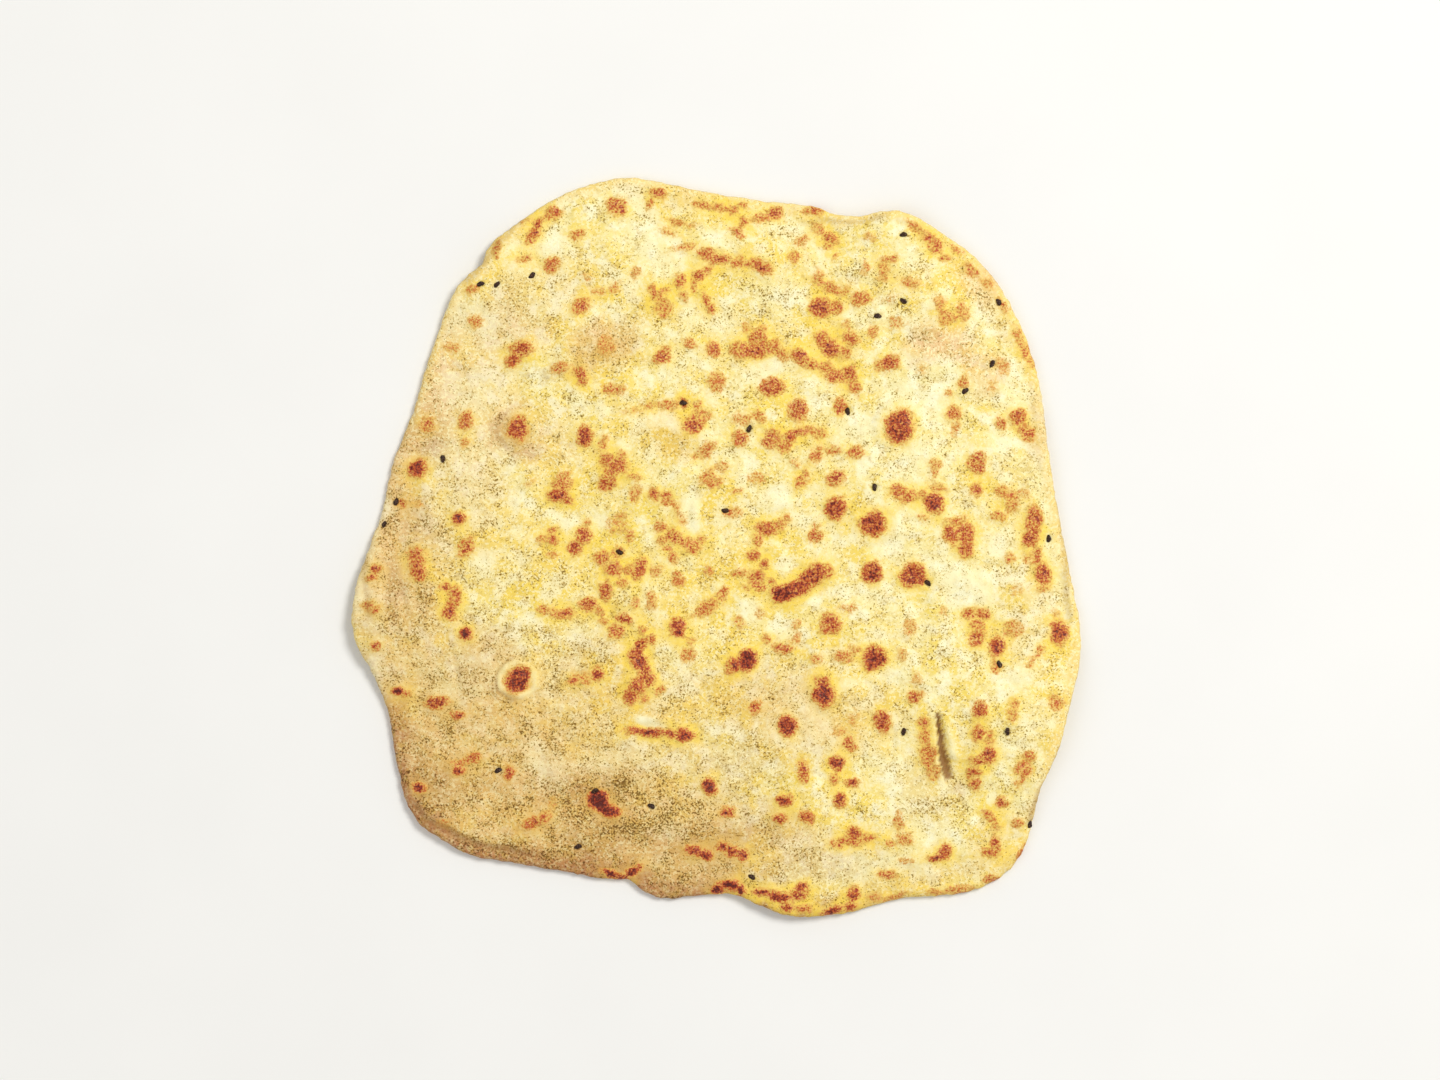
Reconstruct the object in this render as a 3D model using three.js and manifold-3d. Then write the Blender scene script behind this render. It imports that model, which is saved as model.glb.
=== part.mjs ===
// Pita bread: one baked sheet of dough, with the nigella seeds that are pressed into its top crust.
// Millimetres, +Z up. The bread lies flat: its underside rests on z = 0, and the origin is in the
// middle of its length and width. +X runs across the bread and +Y along its length.
import * as THREE from "three";
import { mergeVertices } from "three/addons/utils/BufferGeometryUtils.js";
import Module from "manifold-3d";

// The sheet.
const WIDTH = 205; // along X
const LENGTH = 208; // along Y
const BODY_THICKNESS = 4.2; // away from the rim and the blisters
const RIM_THICKNESS = 2.6; // where the sheet was rolled thinnest
const RIM_TAPER = 16; // from the body's thickness out to the rim's
const RIM_ROUND = 2.2; // how far in the rounded edge reaches

// The nigella seeds.
const SEED_LENGTH = 2.2;
const SEED_WIDTH = 1.5;
const SEED_HEIGHT = 1.3;
const SEED_TAPER = 0.45; // how much of its width the pointed end loses, as a share
const SEED_PROUD = 0.7; // how far a seed's top stands above the crust
const SEED_CLEARANCE = 0.3; // between a seed and its socket in the crust

// The pinched crease, a narrow groove in the top crust. It is turned from +X, in degrees.
const CREASE = { x: 64.4, y: -56.2, turn: -75 };
const CREASE_LENGTH = 23;
const CREASE_WIDTH = 2;
const CREASE_DEPTH = 1.2;

// Fineness of the mesh.
const GRID_CELLS = 36; // cells across the sheet, an even number
const RIM_INSETS = [4.2, 2.2, 1.2, 0.5, 0]; // outermost rings, as distances in from the edge
const RIM_BAND = 9; // the other rings stop this far in from the edge
const SEED_SIDES = 8;
const SEED_RINGS = 6;
const CREASE_SIDES = 16;
const CREASE_RINGS = 8;

// The sheet's outline, anticlockwise, on a bread 205 wide and 208 long with its middle at 0, 0.
// It stretches to WIDTH and LENGTH.
const DRAWN_WIDTH = 205;
const DRAWN_LENGTH = 208;
const OUTLINE = [
  [102.4, -23.5], [99.4, -7], [95.8, 11], [92.9, 30], [91.1, 45], [86.9, 59], [80.4, 72],
  [72, 82], [64, 87.4], [55, 93.1], [48.5, 94.5], [41, 92.6], [33.5, 93.2], [28.5, 95.3],
  [14.5, 97], [-4, 99.8], [-14.5, 102.1], [-24, 103.7], [-33, 102.4], [-42.5, 99.2],
  [-50, 94.9], [-56, 90.6], [-62, 86.2], [-64.6, 82.6], [-64.1, 80.2], [-67.7, 77.8],
  [-72.9, 72.5], [-77.3, 62.5], [-81.7, 50], [-86, 36], [-91.2, 22.5], [-94, 9.5],
  [-98.9, -4], [-102, -15.5], [-101.8, -25.5], [-97, -35], [-92.4, -46], [-90.2, -59],
  [-87.4, -71.5], [-83.8, -77.8], [-76.3, -83.1], [-68.6, -87.3], [-60, -88.7],
  [-45, -91.3], [-29.5, -93.9], [-25.2, -93.5], [-20.8, -96.9], [-15, -99.4], [-4, -98.1],
  [6, -98.3], [13.5, -101.8], [20, -103.9], [29.5, -104.1], [38.5, -102.9], [51, -99.3],
  [67, -98], [77, -95.1], [84, -89.6], [88.3, -80.4], [90.5, -69.5], [95.8, -57.5],
  [99.4, -43.5], [102, -33],
];

// Places where the sheet baked up off the board: x, y, how far the rise reaches, how high it is.
// On the rim the whole sheet lifts.
const RIM_LIFTS = [
  { x: 96, y: -52, reach: 34, height: 4.2 },
  { x: -70, y: 80, reach: 24, height: 2.8 },
  { x: 48, y: 96, reach: 26, height: 3.4 },
  { x: -104, y: -20, reach: 30, height: 3 },
  { x: 16, y: -106, reach: 26, height: 2.4 },
  { x: 98, y: 22, reach: 26, height: 1.8 },
  { x: -82, y: -84, reach: 20, height: 1.2 },
];
// Away from the rim only the top crust rises, as a low blister over a bubble in the crumb.
const BLISTERS = [
  { x: -18, y: 27, reach: 22, height: 1.5 },
  { x: 48, y: 16, reach: 26, height: 1.3 },
  { x: 66, y: -40, reach: 24, height: 1.5 },
  { x: 20, y: -62, reach: 24, height: 1.1 },
  { x: -58, y: -42, reach: 20, height: 1.3 },
  { x: -44, y: 62, reach: 22, height: 1.2 },
  { x: 14, y: 78, reach: 20, height: 1.1 },
  { x: -18, y: -44, reach: 20, height: 1.2 },
  { x: -70, y: 6, reach: 20, height: 1.0 },
  { x: 60, y: 66, reach: 22, height: 1.1 },
];

// Where each seed lies, and the way its long axis points, in degrees anticlockwise from +X.
const SEEDS = [
  { x: -66, y: 73.7, turn: 10 },
  { x: -61.4, y: 73.6, turn: 50 },
  { x: -51.7, y: 76.2, turn: 40 },
  { x: 52.3, y: 87.4, turn: 5 },
  { x: 52.4, y: 68.9, turn: -40 },
  { x: 45.2, y: 64.6, turn: -5 },
  { x: 79.2, y: 68.7, turn: -55 },
  { x: 77.4, y: 51.4, turn: 60 },
  { x: 69.8, y: 43.8, turn: 45 },
  { x: 36.8, y: 38, turn: 95 },
  { x: 9.2, y: 33.2, turn: 75 },
  { x: -9.3, y: 40.3, turn: 0 },
  { x: -76.8, y: 24.7, turn: 90 },
  { x: -89.9, y: 12.7, turn: 80 },
  { x: -93.2, y: 6.3, turn: 72 },
  { x: 2.4, y: 10.2, turn: -10 },
  { x: 44.2, y: 16.7, turn: 100 },
  { x: -27.2, y: -1.5, turn: -20 },
  { x: 93.2, y: 2.4, turn: 90 },
  { x: 59.3, y: -10.2, turn: -45 },
  { x: 79.1, y: -32.8, turn: 105 },
  { x: 52.5, y: -51.8, turn: 85 },
  { x: 81.3, y: -51.6, turn: 95 },
  { x: -61.1, y: -62.6, turn: 20 },
  { x: -34.1, y: -68.3, turn: 25 },
  { x: -18.3, y: -72.8, turn: -30 },
  { x: -38.9, y: -84, turn: 15 },
  { x: 88, y: -77.8, turn: 75 },
  { x: 9.9, y: -92.6, turn: -35 },
];

const CRUST = new THREE.MeshStandardMaterial({ color: 0xe9cf8f, roughness: 0.85, metalness: 0 });
const SEED_COAT = new THREE.MeshStandardMaterial({ color: 0x17120f, roughness: 0.45, metalness: 0 });

const wasm = await Module();
wasm.setup();

// The closed rim curve, drawn to size and centred on the origin.
function rimCurve() {
  const points = OUTLINE.map(([x, y]) => new THREE.Vector3(x, y, 0));
  const drawn = new THREE.CatmullRomCurve3(points, true, "centripetal");
  const box = new THREE.Box3().setFromPoints(drawn.getPoints(OUTLINE.length * 8));
  const middle = box.getCenter(new THREE.Vector3());
  const drawnSize = box.getSize(new THREE.Vector3());
  const stretch = new THREE.Vector3(WIDTH / drawnSize.x, LENGTH / drawnSize.y, 1);
  return new THREE.CatmullRomCurve3(
    points.map((point) => point.clone().sub(middle).multiply(stretch)),
    true,
    "centripetal",
  );
}

// A place on the drawn bread, moved to where the stretched bread has it.
function placed({ x, y }) {
  return new THREE.Vector2((x * WIDTH) / DRAWN_WIDTH, (y * LENGTH) / DRAWN_LENGTH);
}

// A rounded hump that is 1 in its middle and 0 from `reach` outwards.
function hump(distance, reach) {
  const share = Math.min(distance / reach, 1);
  return (1 - share * share) ** 2;
}

function humpsAt(humps, x, y) {
  let height = 0;
  for (const rise of humps) {
    const middle = placed(rise);
    height += rise.height * hump(Math.hypot(x - middle.x, y - middle.y), rise.reach);
  }
  return height;
}

// Heights of the sheet's two faces at a place that lies `inset` in from the edge.
function facesAt(x, y, inset) {
  const lift = humpsAt(RIM_LIFTS, x, y);
  const body = THREE.MathUtils.smoothstep(inset, 0, RIM_TAPER);
  const plain = THREE.MathUtils.lerp(RIM_THICKNESS, BODY_THICKNESS, body);
  const outward = 1 - Math.min(inset / RIM_ROUND, 1);
  const roundness = Math.sqrt(1 - outward * outward);
  const middle = lift + plain / 2;
  const blister = humpsAt(BLISTERS, x, y) * body;
  return {
    top: middle + (plain / 2) * roundness + blister,
    bottom: middle - (plain / 2) * roundness,
  };
}

// How far in from the edge each ring of the grid lies, out of the distance from middle to edge.
function ringInset(ring, toEdge) {
  const rings = GRID_CELLS / 2;
  const evenRings = rings - RIM_INSETS.length;
  if (ring > evenRings) return RIM_INSETS[ring - evenRings - 1];
  return toEdge + (RIM_BAND - toEdge) * (ring / evenRings);
}

// A grid cell corner, counted from the middle, as a ring number and a place along the rim.
// Rings of the square grid become rings around the bread.
function ringPlace(column, row) {
  const ring = Math.max(Math.abs(column), Math.abs(row));
  if (ring === 0) return { ring, along: 0 };
  let eighths;
  if (column === ring && row !== -ring) eighths = row / ring;
  else if (row === ring) eighths = 2 - column / ring;
  else if (column === -ring) eighths = 4 - row / ring;
  else eighths = 6 + column / ring;
  return { ring, along: THREE.MathUtils.euclideanModulo(eighths / 8, 1) };
}

// The rim at every grid step round the edge, evenly spaced, anticlockwise.
function rimPoints() {
  const steps = 4 * GRID_CELLS;
  return rimCurve().getSpacedPoints(steps).slice(0, steps);
}

const RIM = rimPoints();

// How far the edge is from the middle, in the direction of a place on the bread.
function edgeDistance(x, y) {
  const distance = Math.hypot(x, y);
  for (let i = 0; i < RIM.length; i += 1) {
    const from = RIM[i];
    const to = RIM[(i + 1) % RIM.length];
    const past = from.x * y - from.y * x;
    const before = x * to.y - y * to.x;
    const ahead = from.x * x + from.y * y > 0;
    if (past < 0 || before <= 0 || !ahead) continue;
    const crossed = x * (to.y - from.y) - y * (to.x - from.x);
    return (distance * (from.x * to.y - from.y * to.x)) / crossed;
  }
  return RIM[0].length();
}

// Height of the top crust at a place on the bread.
function crustHeight(x, y) {
  const inset = edgeDistance(x, y) - Math.hypot(x, y);
  return facesAt(x, y, Math.max(inset, 0)).top;
}

function sheetGeometry() {
  const half = GRID_CELLS / 2;
  const positions = [];
  const index = [];
  const numbers = { top: new Map(), bottom: new Map() };
  const key = (column, row) => `${column},${row}`;
  for (let column = -half; column <= half; column += 1) {
    for (let row = -half; row <= half; row += 1) {
      const { ring, along } = ringPlace(column, row);
      const edge = RIM[Math.round(along * RIM.length) % RIM.length];
      const toEdge = Math.hypot(edge.x, edge.y);
      const inset = ringInset(ring, toEdge);
      const share = 1 - inset / toEdge;
      const x = edge.x * share;
      const y = edge.y * share;
      const faces = facesAt(x, y, inset);
      numbers.top.set(key(column, row), positions.length / 3);
      if (ring === half) numbers.bottom.set(key(column, row), positions.length / 3);
      positions.push(x, y, faces.top);
      if (ring === half) continue;
      numbers.bottom.set(key(column, row), positions.length / 3);
      positions.push(x, y, faces.bottom);
    }
  }
  // Each cell is two triangles, split along the diagonal that runs out from the middle.
  for (let column = -half; column < half; column += 1) {
    for (let row = -half; row < half; row += 1) {
      const corners = [key(column, row), key(column + 1, row), key(column + 1, row + 1),
        key(column, row + 1)];
      const outwardDiagonal = (column + 0.5) * (row + 0.5) > 0;
      const order = outwardDiagonal ? [0, 1, 2, 0, 2, 3] : [0, 1, 3, 1, 2, 3];
      const upper = order.map((corner) => numbers.top.get(corners[corner]));
      const lower = order.map((corner) => numbers.bottom.get(corners[corner])).reverse();
      index.push(...upper, ...lower);
    }
  }
  const geometry = new THREE.BufferGeometry();
  geometry.setAttribute("position", new THREE.Float32BufferAttribute(positions, 3));
  geometry.setIndex(index);
  return geometry;
}

// A seed is a flattened ellipsoid that narrows to one end. `extra` grows it all round.
function seedGeometry(extra) {
  const geometry = new THREE.SphereGeometry(0.5, SEED_SIDES, SEED_RINGS);
  geometry.rotateZ(Math.PI / 2);
  const position = geometry.getAttribute("position");
  for (let i = 0; i < position.count; i += 1) {
    const along = position.getX(i) + 0.5;
    const narrowing = 1 - SEED_TAPER * along;
    position.setY(i, position.getY(i) * narrowing);
    position.setZ(i, position.getZ(i) * narrowing);
  }
  geometry.computeBoundingBox();
  const drawn = geometry.boundingBox.getSize(new THREE.Vector3());
  geometry.scale(
    (SEED_LENGTH + 2 * extra) / drawn.x,
    (SEED_WIDTH + 2 * extra) / drawn.y,
    (SEED_HEIGHT + 2 * extra) / drawn.z,
  );
  return geometry;
}

// A place on the crust: turned about Z as `spot` says, and `above` higher than the crust.
function crustMatrix(spot, above) {
  const { x, y } = placed(spot);
  const turn = new THREE.Matrix4().makeRotationZ(THREE.MathUtils.degToRad(spot.turn));
  return turn.setPosition(x, y, crustHeight(x, y) + above);
}

// A seed is sunk so that SEED_PROUD of it shows.
function seedMatrix(seed) {
  return crustMatrix(seed, SEED_PROUD - SEED_HEIGHT / 2);
}

// The tool that presses the crease: a long ellipsoid, half of it below the crust.
function creaseGeometry() {
  const geometry = new THREE.SphereGeometry(0.5, CREASE_SIDES, CREASE_RINGS);
  geometry.rotateZ(Math.PI / 2);
  geometry.scale(CREASE_LENGTH, CREASE_WIDTH, 2 * CREASE_DEPTH);
  return geometry.applyMatrix4(crustMatrix(CREASE, 0));
}

function solidOf(geometry) {
  const plain = new THREE.BufferGeometry();
  plain.setAttribute("position", geometry.getAttribute("position"));
  plain.setIndex(geometry.getIndex());
  const merged = mergeVertices(plain);
  return new wasm.Manifold(
    new wasm.Mesh({
      numProp: 3,
      vertProperties: merged.getAttribute("position").array,
      triVerts: new Uint32Array(merged.getIndex().array),
    }),
  );
}

function geometryOf(solid) {
  const mesh = solid.getMesh();
  const geometry = new THREE.BufferGeometry();
  geometry.setAttribute("position", new THREE.Float32BufferAttribute(mesh.vertProperties, 3));
  geometry.setIndex(new THREE.Uint32BufferAttribute(mesh.triVerts, 1));
  geometry.computeVertexNormals();
  return geometry;
}

function bread() {
  let solid = solidOf(sheetGeometry()).subtract(solidOf(creaseGeometry()));
  for (const seed of SEEDS) {
    const socket = seedGeometry(SEED_CLEARANCE).applyMatrix4(seedMatrix(seed));
    solid = solid.subtract(solidOf(socket));
  }
  const mesh = new THREE.Mesh(geometryOf(solid), CRUST);
  mesh.name = "bread";
  return mesh;
}

function nigellaSeed(seed, number) {
  const mesh = new THREE.Mesh(seedGeometry(0), SEED_COAT);
  mesh.name = `nigella_seed_${String(number).padStart(2, "0")}`;
  mesh.applyMatrix4(seedMatrix(seed));
  return mesh;
}

const pita = new THREE.Group();
pita.add(bread());
SEEDS.forEach((seed, i) => pita.add(nigellaSeed(seed, i + 1)));

export default pita;
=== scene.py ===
"""Looks of the pita bread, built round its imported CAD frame.

The bread is one closed mesh. Its outline and its lie come from the CAD node, and its blisters, folds,
pits and toast spots are added here. Places are written in millimetres from the middle of a bread
205 mm wide and 208 mm long, and stretch with the CAD model's own box.
"""
import math

import bmesh
import bpy
import numpy as np
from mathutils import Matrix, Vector
from mathutils.bvhtree import BVHTree


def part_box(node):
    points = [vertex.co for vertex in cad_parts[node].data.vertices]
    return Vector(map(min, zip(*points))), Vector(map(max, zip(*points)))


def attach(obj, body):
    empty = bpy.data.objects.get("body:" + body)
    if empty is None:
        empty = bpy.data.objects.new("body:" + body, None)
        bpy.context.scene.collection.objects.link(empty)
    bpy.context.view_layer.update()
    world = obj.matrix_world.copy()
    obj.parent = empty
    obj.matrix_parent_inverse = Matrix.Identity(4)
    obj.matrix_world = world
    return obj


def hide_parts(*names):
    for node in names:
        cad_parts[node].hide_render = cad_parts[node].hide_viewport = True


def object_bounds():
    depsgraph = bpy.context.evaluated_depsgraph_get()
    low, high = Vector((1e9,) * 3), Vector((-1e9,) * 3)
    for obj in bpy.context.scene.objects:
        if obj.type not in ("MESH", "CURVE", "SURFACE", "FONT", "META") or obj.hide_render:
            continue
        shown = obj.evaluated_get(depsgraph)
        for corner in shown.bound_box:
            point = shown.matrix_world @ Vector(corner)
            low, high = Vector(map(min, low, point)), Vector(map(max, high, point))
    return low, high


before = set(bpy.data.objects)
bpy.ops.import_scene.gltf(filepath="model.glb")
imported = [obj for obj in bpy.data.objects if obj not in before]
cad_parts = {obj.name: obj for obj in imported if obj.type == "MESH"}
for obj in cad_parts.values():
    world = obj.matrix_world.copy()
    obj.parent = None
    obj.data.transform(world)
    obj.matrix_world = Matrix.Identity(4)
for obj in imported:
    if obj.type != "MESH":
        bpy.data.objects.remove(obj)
cad_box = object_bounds()

MM = 0.001
DRAWN_WIDTH = 205.0
DRAWN_LENGTH = 208.0

# Fineness of the mesh.
TOP_CELLS = 264
UNDER_CELLS = TOP_CELLS // 2
OUTLINE_STEPS = 1440
RASTER_PITCH = 1.5
RASTER_REACH = 126.0
LEAST_SHARE = 0.02  # of the CAD sheet within a blur's reach, for its height to be carried on
TOP_RIM_INSETS = (3.4, 2.7, 2.1, 1.55, 1.05, 0.62, 0.28, 0.0)
UNDER_RIM_INSETS = (3.4, 2.1, 1.05)

# The rim.
RIM_ROUND = 2.3
RIM_TRUST = 3.2  # heights are read from the CAD sheet no nearer to its edge than this
RIM_JITTER = 0.36
RIM_HALF_HEIGHT = 1.4  # how much wider the rim's drop makes it on the map

# Toast spots on the top crust: x, y, length, width, turn in degrees, heat from 0 to 1.
SPOTS = (
    # upper left
    (-61.5, 83.5, 4.4, 1.8, 82, .50), (-53.5, 91.5, 3.2, 1.6, 30, .28), (-46, 93.6, 4.8, 3, 22, .58),
    (-49.8, 90.6, 3.6, 2, 62, .6), (-51.4, 87.6, 4.6, 2.6, 68, .66), (-38.8, 87.6, 4.6, 2.6, 15, .5),
    (-28, 95.5, 5.8, 5.2, 0, .6), (-16.5, 99.2, 4.2, 2.8, -20, .58), (-19, 96.5, 1.8, 2.4, 0, .45),
    (-4, 96, 5.4, 1.8, -8, .5), (0.8, 95.1, 4.6, 1.6, -15, .5), (-11.2, 91, 3.8, 1.5, -8, .5),
    (-7, 90.3, 4, 2, 0, .26), (-13.5, 88.3, 4.4, 1.8, -15, .3), (-46, 79, 4.6, 4.2, 10, .6),
    (-53.3, 81.2, 2.2, 1.5, 0, .56), (-55, 80.5, 1.8, 1.2, 0, .36), (-68.5, 72.2, 3, 2.4, 0, .46),
    (-67.5, 63.4, 4, 3.2, -40, .44), (-74.5, 56, 4.2, 2.8, 0, .36), (-38.2, 67.6, 4.8, 3.6, 30, .66),
    (-22.5, 77.2, 3.4, 3.2, 0, .38), (-33, 71.5, 4.6, 1.9, 10, .3), (-29, 72.8, 3.2, 2, 20, .34),
    (-36.5, 75.5, 3, 3, 0, .2), (-18, 72.3, 2.2, 2.6, 0, .4), (-17.5, 70.5, 2.2, 2.2, 0, .56),
    (-14.5, 71.5, 3.2, 1.6, 30, .46), (-15, 67.5, 4.8, 5.4, 0, .4), (-14.5, 65.4, 3, 2, 0, .42),
    (-10.2, 74.8, 3, 3.6, 0, .6), (-5, 76.5, 3.4, 3, 0, .62), (-3, 77.9, 3.2, 1.5, 20, .5),
    (-6.2, 73.5, 1.9, 3, 0, .5), (-9.2, 70.4, 1.6, 2.2, 0, .44), (-2.9, 69.2, 3.4, 1.8, -60, .52),
    (-1.5, 67, 2.6, 1.7, -50, .6), (-2.4, 82, 5.2, 3, -10, .62), (1, 80.6, 5, 2.6, -5, .62),
    (-9, 83.9, 5.4, 1.6, 10, .34), (-54.5, 55.7, 6.2, 3.6, -5, .66), (-56.8, 52.3, 4.2, 3.4, 20, .68),
    (-43.6, 50, 5.2, 2.3, 8, .5), (-37.8, 48.8, 3.4, 3, 0, .62), (-37.8, 46.3, 2, 1.8, 0, .62),
    (-31, 56.8, 5.4, 5.2, 0, .38), (-15.3, 53, 4.4, 3.6, 0, .66), (-14, 55, 2.2, 1.6, 0, .52),
    (-7.5, 57, 3.6, 2.4, -10, .46), (-1.2, 55.3, 3.4, 3.6, 0, .66), (-29, 43.8, 5.8, 3.2, -4, .44),
    (0, 46.5, 5, 6.2, 0, .42),
    # upper right
    (4.4, 94.5, 3, 2.6, 0, .52), (7.5, 96.3, 2.6, 1.6, 0, .4), (7.6, 91.3, 2.4, 2.4, 0, .5),
    (6, 88.3, 3.8, 2.8, -20, .52), (12.5, 92.2, 4.2, 1.8, 10, .5), (16.6, 93.9, 3.8, 3.4, 0, .7),
    (27, 94.5, 5, 2.3, 0, .6), (28.5, 89.2, 4.6, 2.6, -38, .42), (31.9, 86.8, 4.2, 2.6, -25, .6),
    (31.3, 84.4, 2.2, 2, 0, .4), (24, 85.9, 3.8, 2.6, 35, .42), (22, 81, 3.8, 2.8, 0, .44),
    (43, 86.7, 2.4, 1.6, 0, .4), (33.3, 81, 1.6, 1.6, 0, .34), (48.4, 80.9, 3.8, 2.2, 22, .5),
    (47, 77.8, 2.8, 4.4, 0, .4), (46.3, 75.6, 3, 1.8, 0, .36), (41.5, 78, 2.8, 3.4, 0, .32),
    (54.5, 74.2, 4.4, 2.8, -10, .42), (12.6, 78.4, 5.8, 3.2, -28, .6), (6, 79.7, 5, 2.8, 0, .42),
    (9.3, 79.6, 2, 1.4, 0, .5), (55.5, 89.6, 4.6, 2.2, -35, .4), (59, 87.2, 4.2, 2.4, -42, .52),
    (61.2, 84.8, 5, 3.6, -25, .5), (64.2, 81.3, 2, 1.7, 0, .6), (67.5, 83.6, 4, 1.8, -30, .3),
    (71.5, 77.5, 4.4, 2.6, -45, .4), (76, 74.3, 3.8, 2, -48, .33), (80.6, 68, 3.6, 2, -58, .42),
    (28.7, 75, 3.2, 4.6, 0, .38), (32.4, 72.3, 4.4, 3.2, -10, .5), (35.6, 71.5, 3.2, 2.4, 0, .3),
    (29.2, 67, 6, 5.6, 0, .7), (33.6, 67.2, 3.2, 3, 0, .56), (40.5, 69.3, 5.2, 4, 0, .52),
    (48.5, 69.5, 3.6, 2, 0, .24), (62.6, 68, 3.4, 4, 0, .4), (64, 64.2, 4.6, 4.6, 0, .36),
    (68.9, 66, 3.2, 4.6, 0, .44), (66.3, 64.2, 2.4, 1.8, 0, .4), (50.5, 62.8, 5.2, 4, 0, .26),
    (43.8, 60.3, 3.4, 3.4, 0, .42), (6.5, 55.2, 5.6, 5.2, 0, .44), (11.4, 58.2, 6, 6, 0, .48),
    (10.5, 55.2, 6.5, 4, 0, .64), (15.5, 56, 5.4, 4.8, 0, .44), (12.7, 61, 2.4, 2.2, 0, .4),
    (18.5, 53.9, 4, 4, 0, .42), (8, 61.6, 3, 3, 0, .28), (23.3, 53.3, 5, 3.6, -15, .62),
    (26.6, 51.3, 5, 3, -10, .46), (29.4, 58.6, 3.4, 4.6, 0, .62), (31.8, 55.6, 5.4, 5, 0, .68),
    (37.6, 58.2, 5.2, 3, -28, .56), (36, 62, 2.8, 3, 0, .34), (36, 54.6, 4, 2.8, 0, .46),
    (31, 50.5, 4.4, 3, -20, .46), (33.6, 47.8, 6.4, 3.8, -8, .54), (37.3, 48.8, 3.8, 4.4, 0, .66),
    (38.6, 44.6, 4.4, 3.2, -62, .5), (48.3, 51.6, 6.8, 4.2, 20, .62), (57.5, 50, 3, 2.4, 0, .2),
    (15.6, 45, 7, 5, -5, .64), (22.8, 38.4, 5.2, 5.8, 0, .6), (34.6, 39.4, 3.4, 5, 0, .58),
    (51.2, 33.9, 8.6, 10.2, -18, .74), (66.6, 37.8, 3.6, 3.6, 0, .54), (66.9, 33.6, 2.2, 4, 0, .34),
    (69.6, 46.1, 2.6, 3.2, 0, .5), (84.6, 36.6, 4.4, 4.4, 0, .64), (87.2, 32, 5.6, 3.4, -48, .54),
    (80, 34.3, 2.4, 3.6, 0, .52), (80.6, 50.6, 5.4, 3.6, -55, .3), (84.6, 59.6, 4.6, 2.4, -70, .4),
    (86.3, 55.4, 4.6, 2.4, -66, .4), (88.6, 52, 3, 1.8, -60, .4), (77.4, 45.4, 3.4, 5, 0, .2),
    (7.6, 36, 5.6, 3.4, 0, .34), (12, 36.4, 3.4, 4, 0, .44), (6.8, 30.4, 4.4, 4.4, 0, .56),
    (15.2, 30, 5.2, 5.4, 0, .54), (18.6, 28.4, 3.8, 4, 0, .44), (20.6, 30.8, 3.2, 2.8, 0, .66),
    (23.8, 32.1, 6, 2, 12, .6), (28.6, 31.8, 3.6, 2, -10, .52), (27.9, 26, 4.6, 2.4, 68, .46),
    (32.4, 27.2, 4.4, 2.8, 15, .38), (38.8, 26.4, 4.2, 3.2, 0, .5), (65.4, 43, 2, 1.6, 0, .32),
    # middle left
    (-81, 34.4, 3.8, 4.6, 0, .5), (-70.2, 35.4, 3.6, 4.6, 0, .58), (-70.5, 29.6, 2, 2.8, 0, .44),
    (-55.6, 32.9, 5.8, 6.8, 0, .68), (-83.8, 22.2, 5.2, 4.4, 0, .8), (-88.6, 12.6, 3, 2, -15, .54),
    (-84, 12, 3, 2.2, 0, .24), (-72.2, 7.7, 3.2, 3, 0, .88), (-70, 0.2, 5.4, 3.8, 62, .58),
    (-84.3, -2.4, 4.6, 4.4, 0, .62), (-84, -4.8, 4.4, 5.4, 0, .62), (-83.4, -7, 4.5, 4.2, -30, .64),
    (-95.3, -6.4, 2.2, 2, 0, .8), (-96.4, -8.6, 2.2, 1.5, 0, .64), (-97.8, -15.9, 2.8, 2.2, 0, .5),
    (-96, -17.4, 2.2, 2, 0, .48), (-73.5, -13.6, 3.2, 4.6, 0, .56), (-74.1, -15.8, 3.8, 4.2, 0, .58),
    (-74.8, -18.2, 3.6, 4.2, 0, .64), (-76, -11.2, 2.4, 2, 0, .7), (-70.4, -24.3, 3.2, 3.2, 0, 1.0),
    (-95.6, -28, 3, 2.6, 0, .62), (-37, 31.2, 4.2, 5.4, 0, .74), (-31.9, 29, 4.2, 2.2, 72, .38),
    (-30.6, 24.6, 3.2, 3.6, 0, .58), (-27.4, 22.7, 5.6, 4, 0, .58), (-26.5, 25.6, 3, 3, 0, .42),
    (-29.2, 21, 3.8, 3, 0, .54), (-30.5, 17.9, 4.6, 4.8, 0, .6), (-44.9, 14.4, 5, 2.8, 5, .78),
    (-42.2, 13.2, 3.4, 2.2, -25, .66), (-43.4, 18, 5, 7, -20, .48), (-22.7, 15, 2.8, 5, -10, .38),
    (-23.2, 20, 2.8, 1.8, 0, .36), (-17.2, 15, 3, 3, 0, .62), (-13.7, 13.2, 4.4, 3, -42, .44),
    (-11.3, 10.8, 3.6, 2.4, -55, .38), (-9.7, 8, 2.2, 3.6, 10, .36), (-15.8, 5.8, 3.6, 3, 0, .5),
    (-12, 3, 4.6, 4, -20, .54), (-15.5, 2, 2.2, 2.4, 0, .46), (-8, 1.4, 6, 2.8, -14, .5),
    (-6.6, -0.6, 3.8, 2.2, 0, .56), (-4.3, 1.8, 3.2, 1.9, 15, .42), (-27.8, 6, 7, 6.6, 0, .24),
    (-26.5, 9, 3, 1.6, 0, .33), (-24, 3.3, 2.6, 3, 0, .42), (-39.6, -0.3, 3.8, 4.6, 0, .64),
    (-37.2, 3.2, 5, 3.8, 58, .62), (-36, 6.6, 2, 2, 0, .36), (-48.8, 2, 3.2, 2.2, 0, .42),
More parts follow.
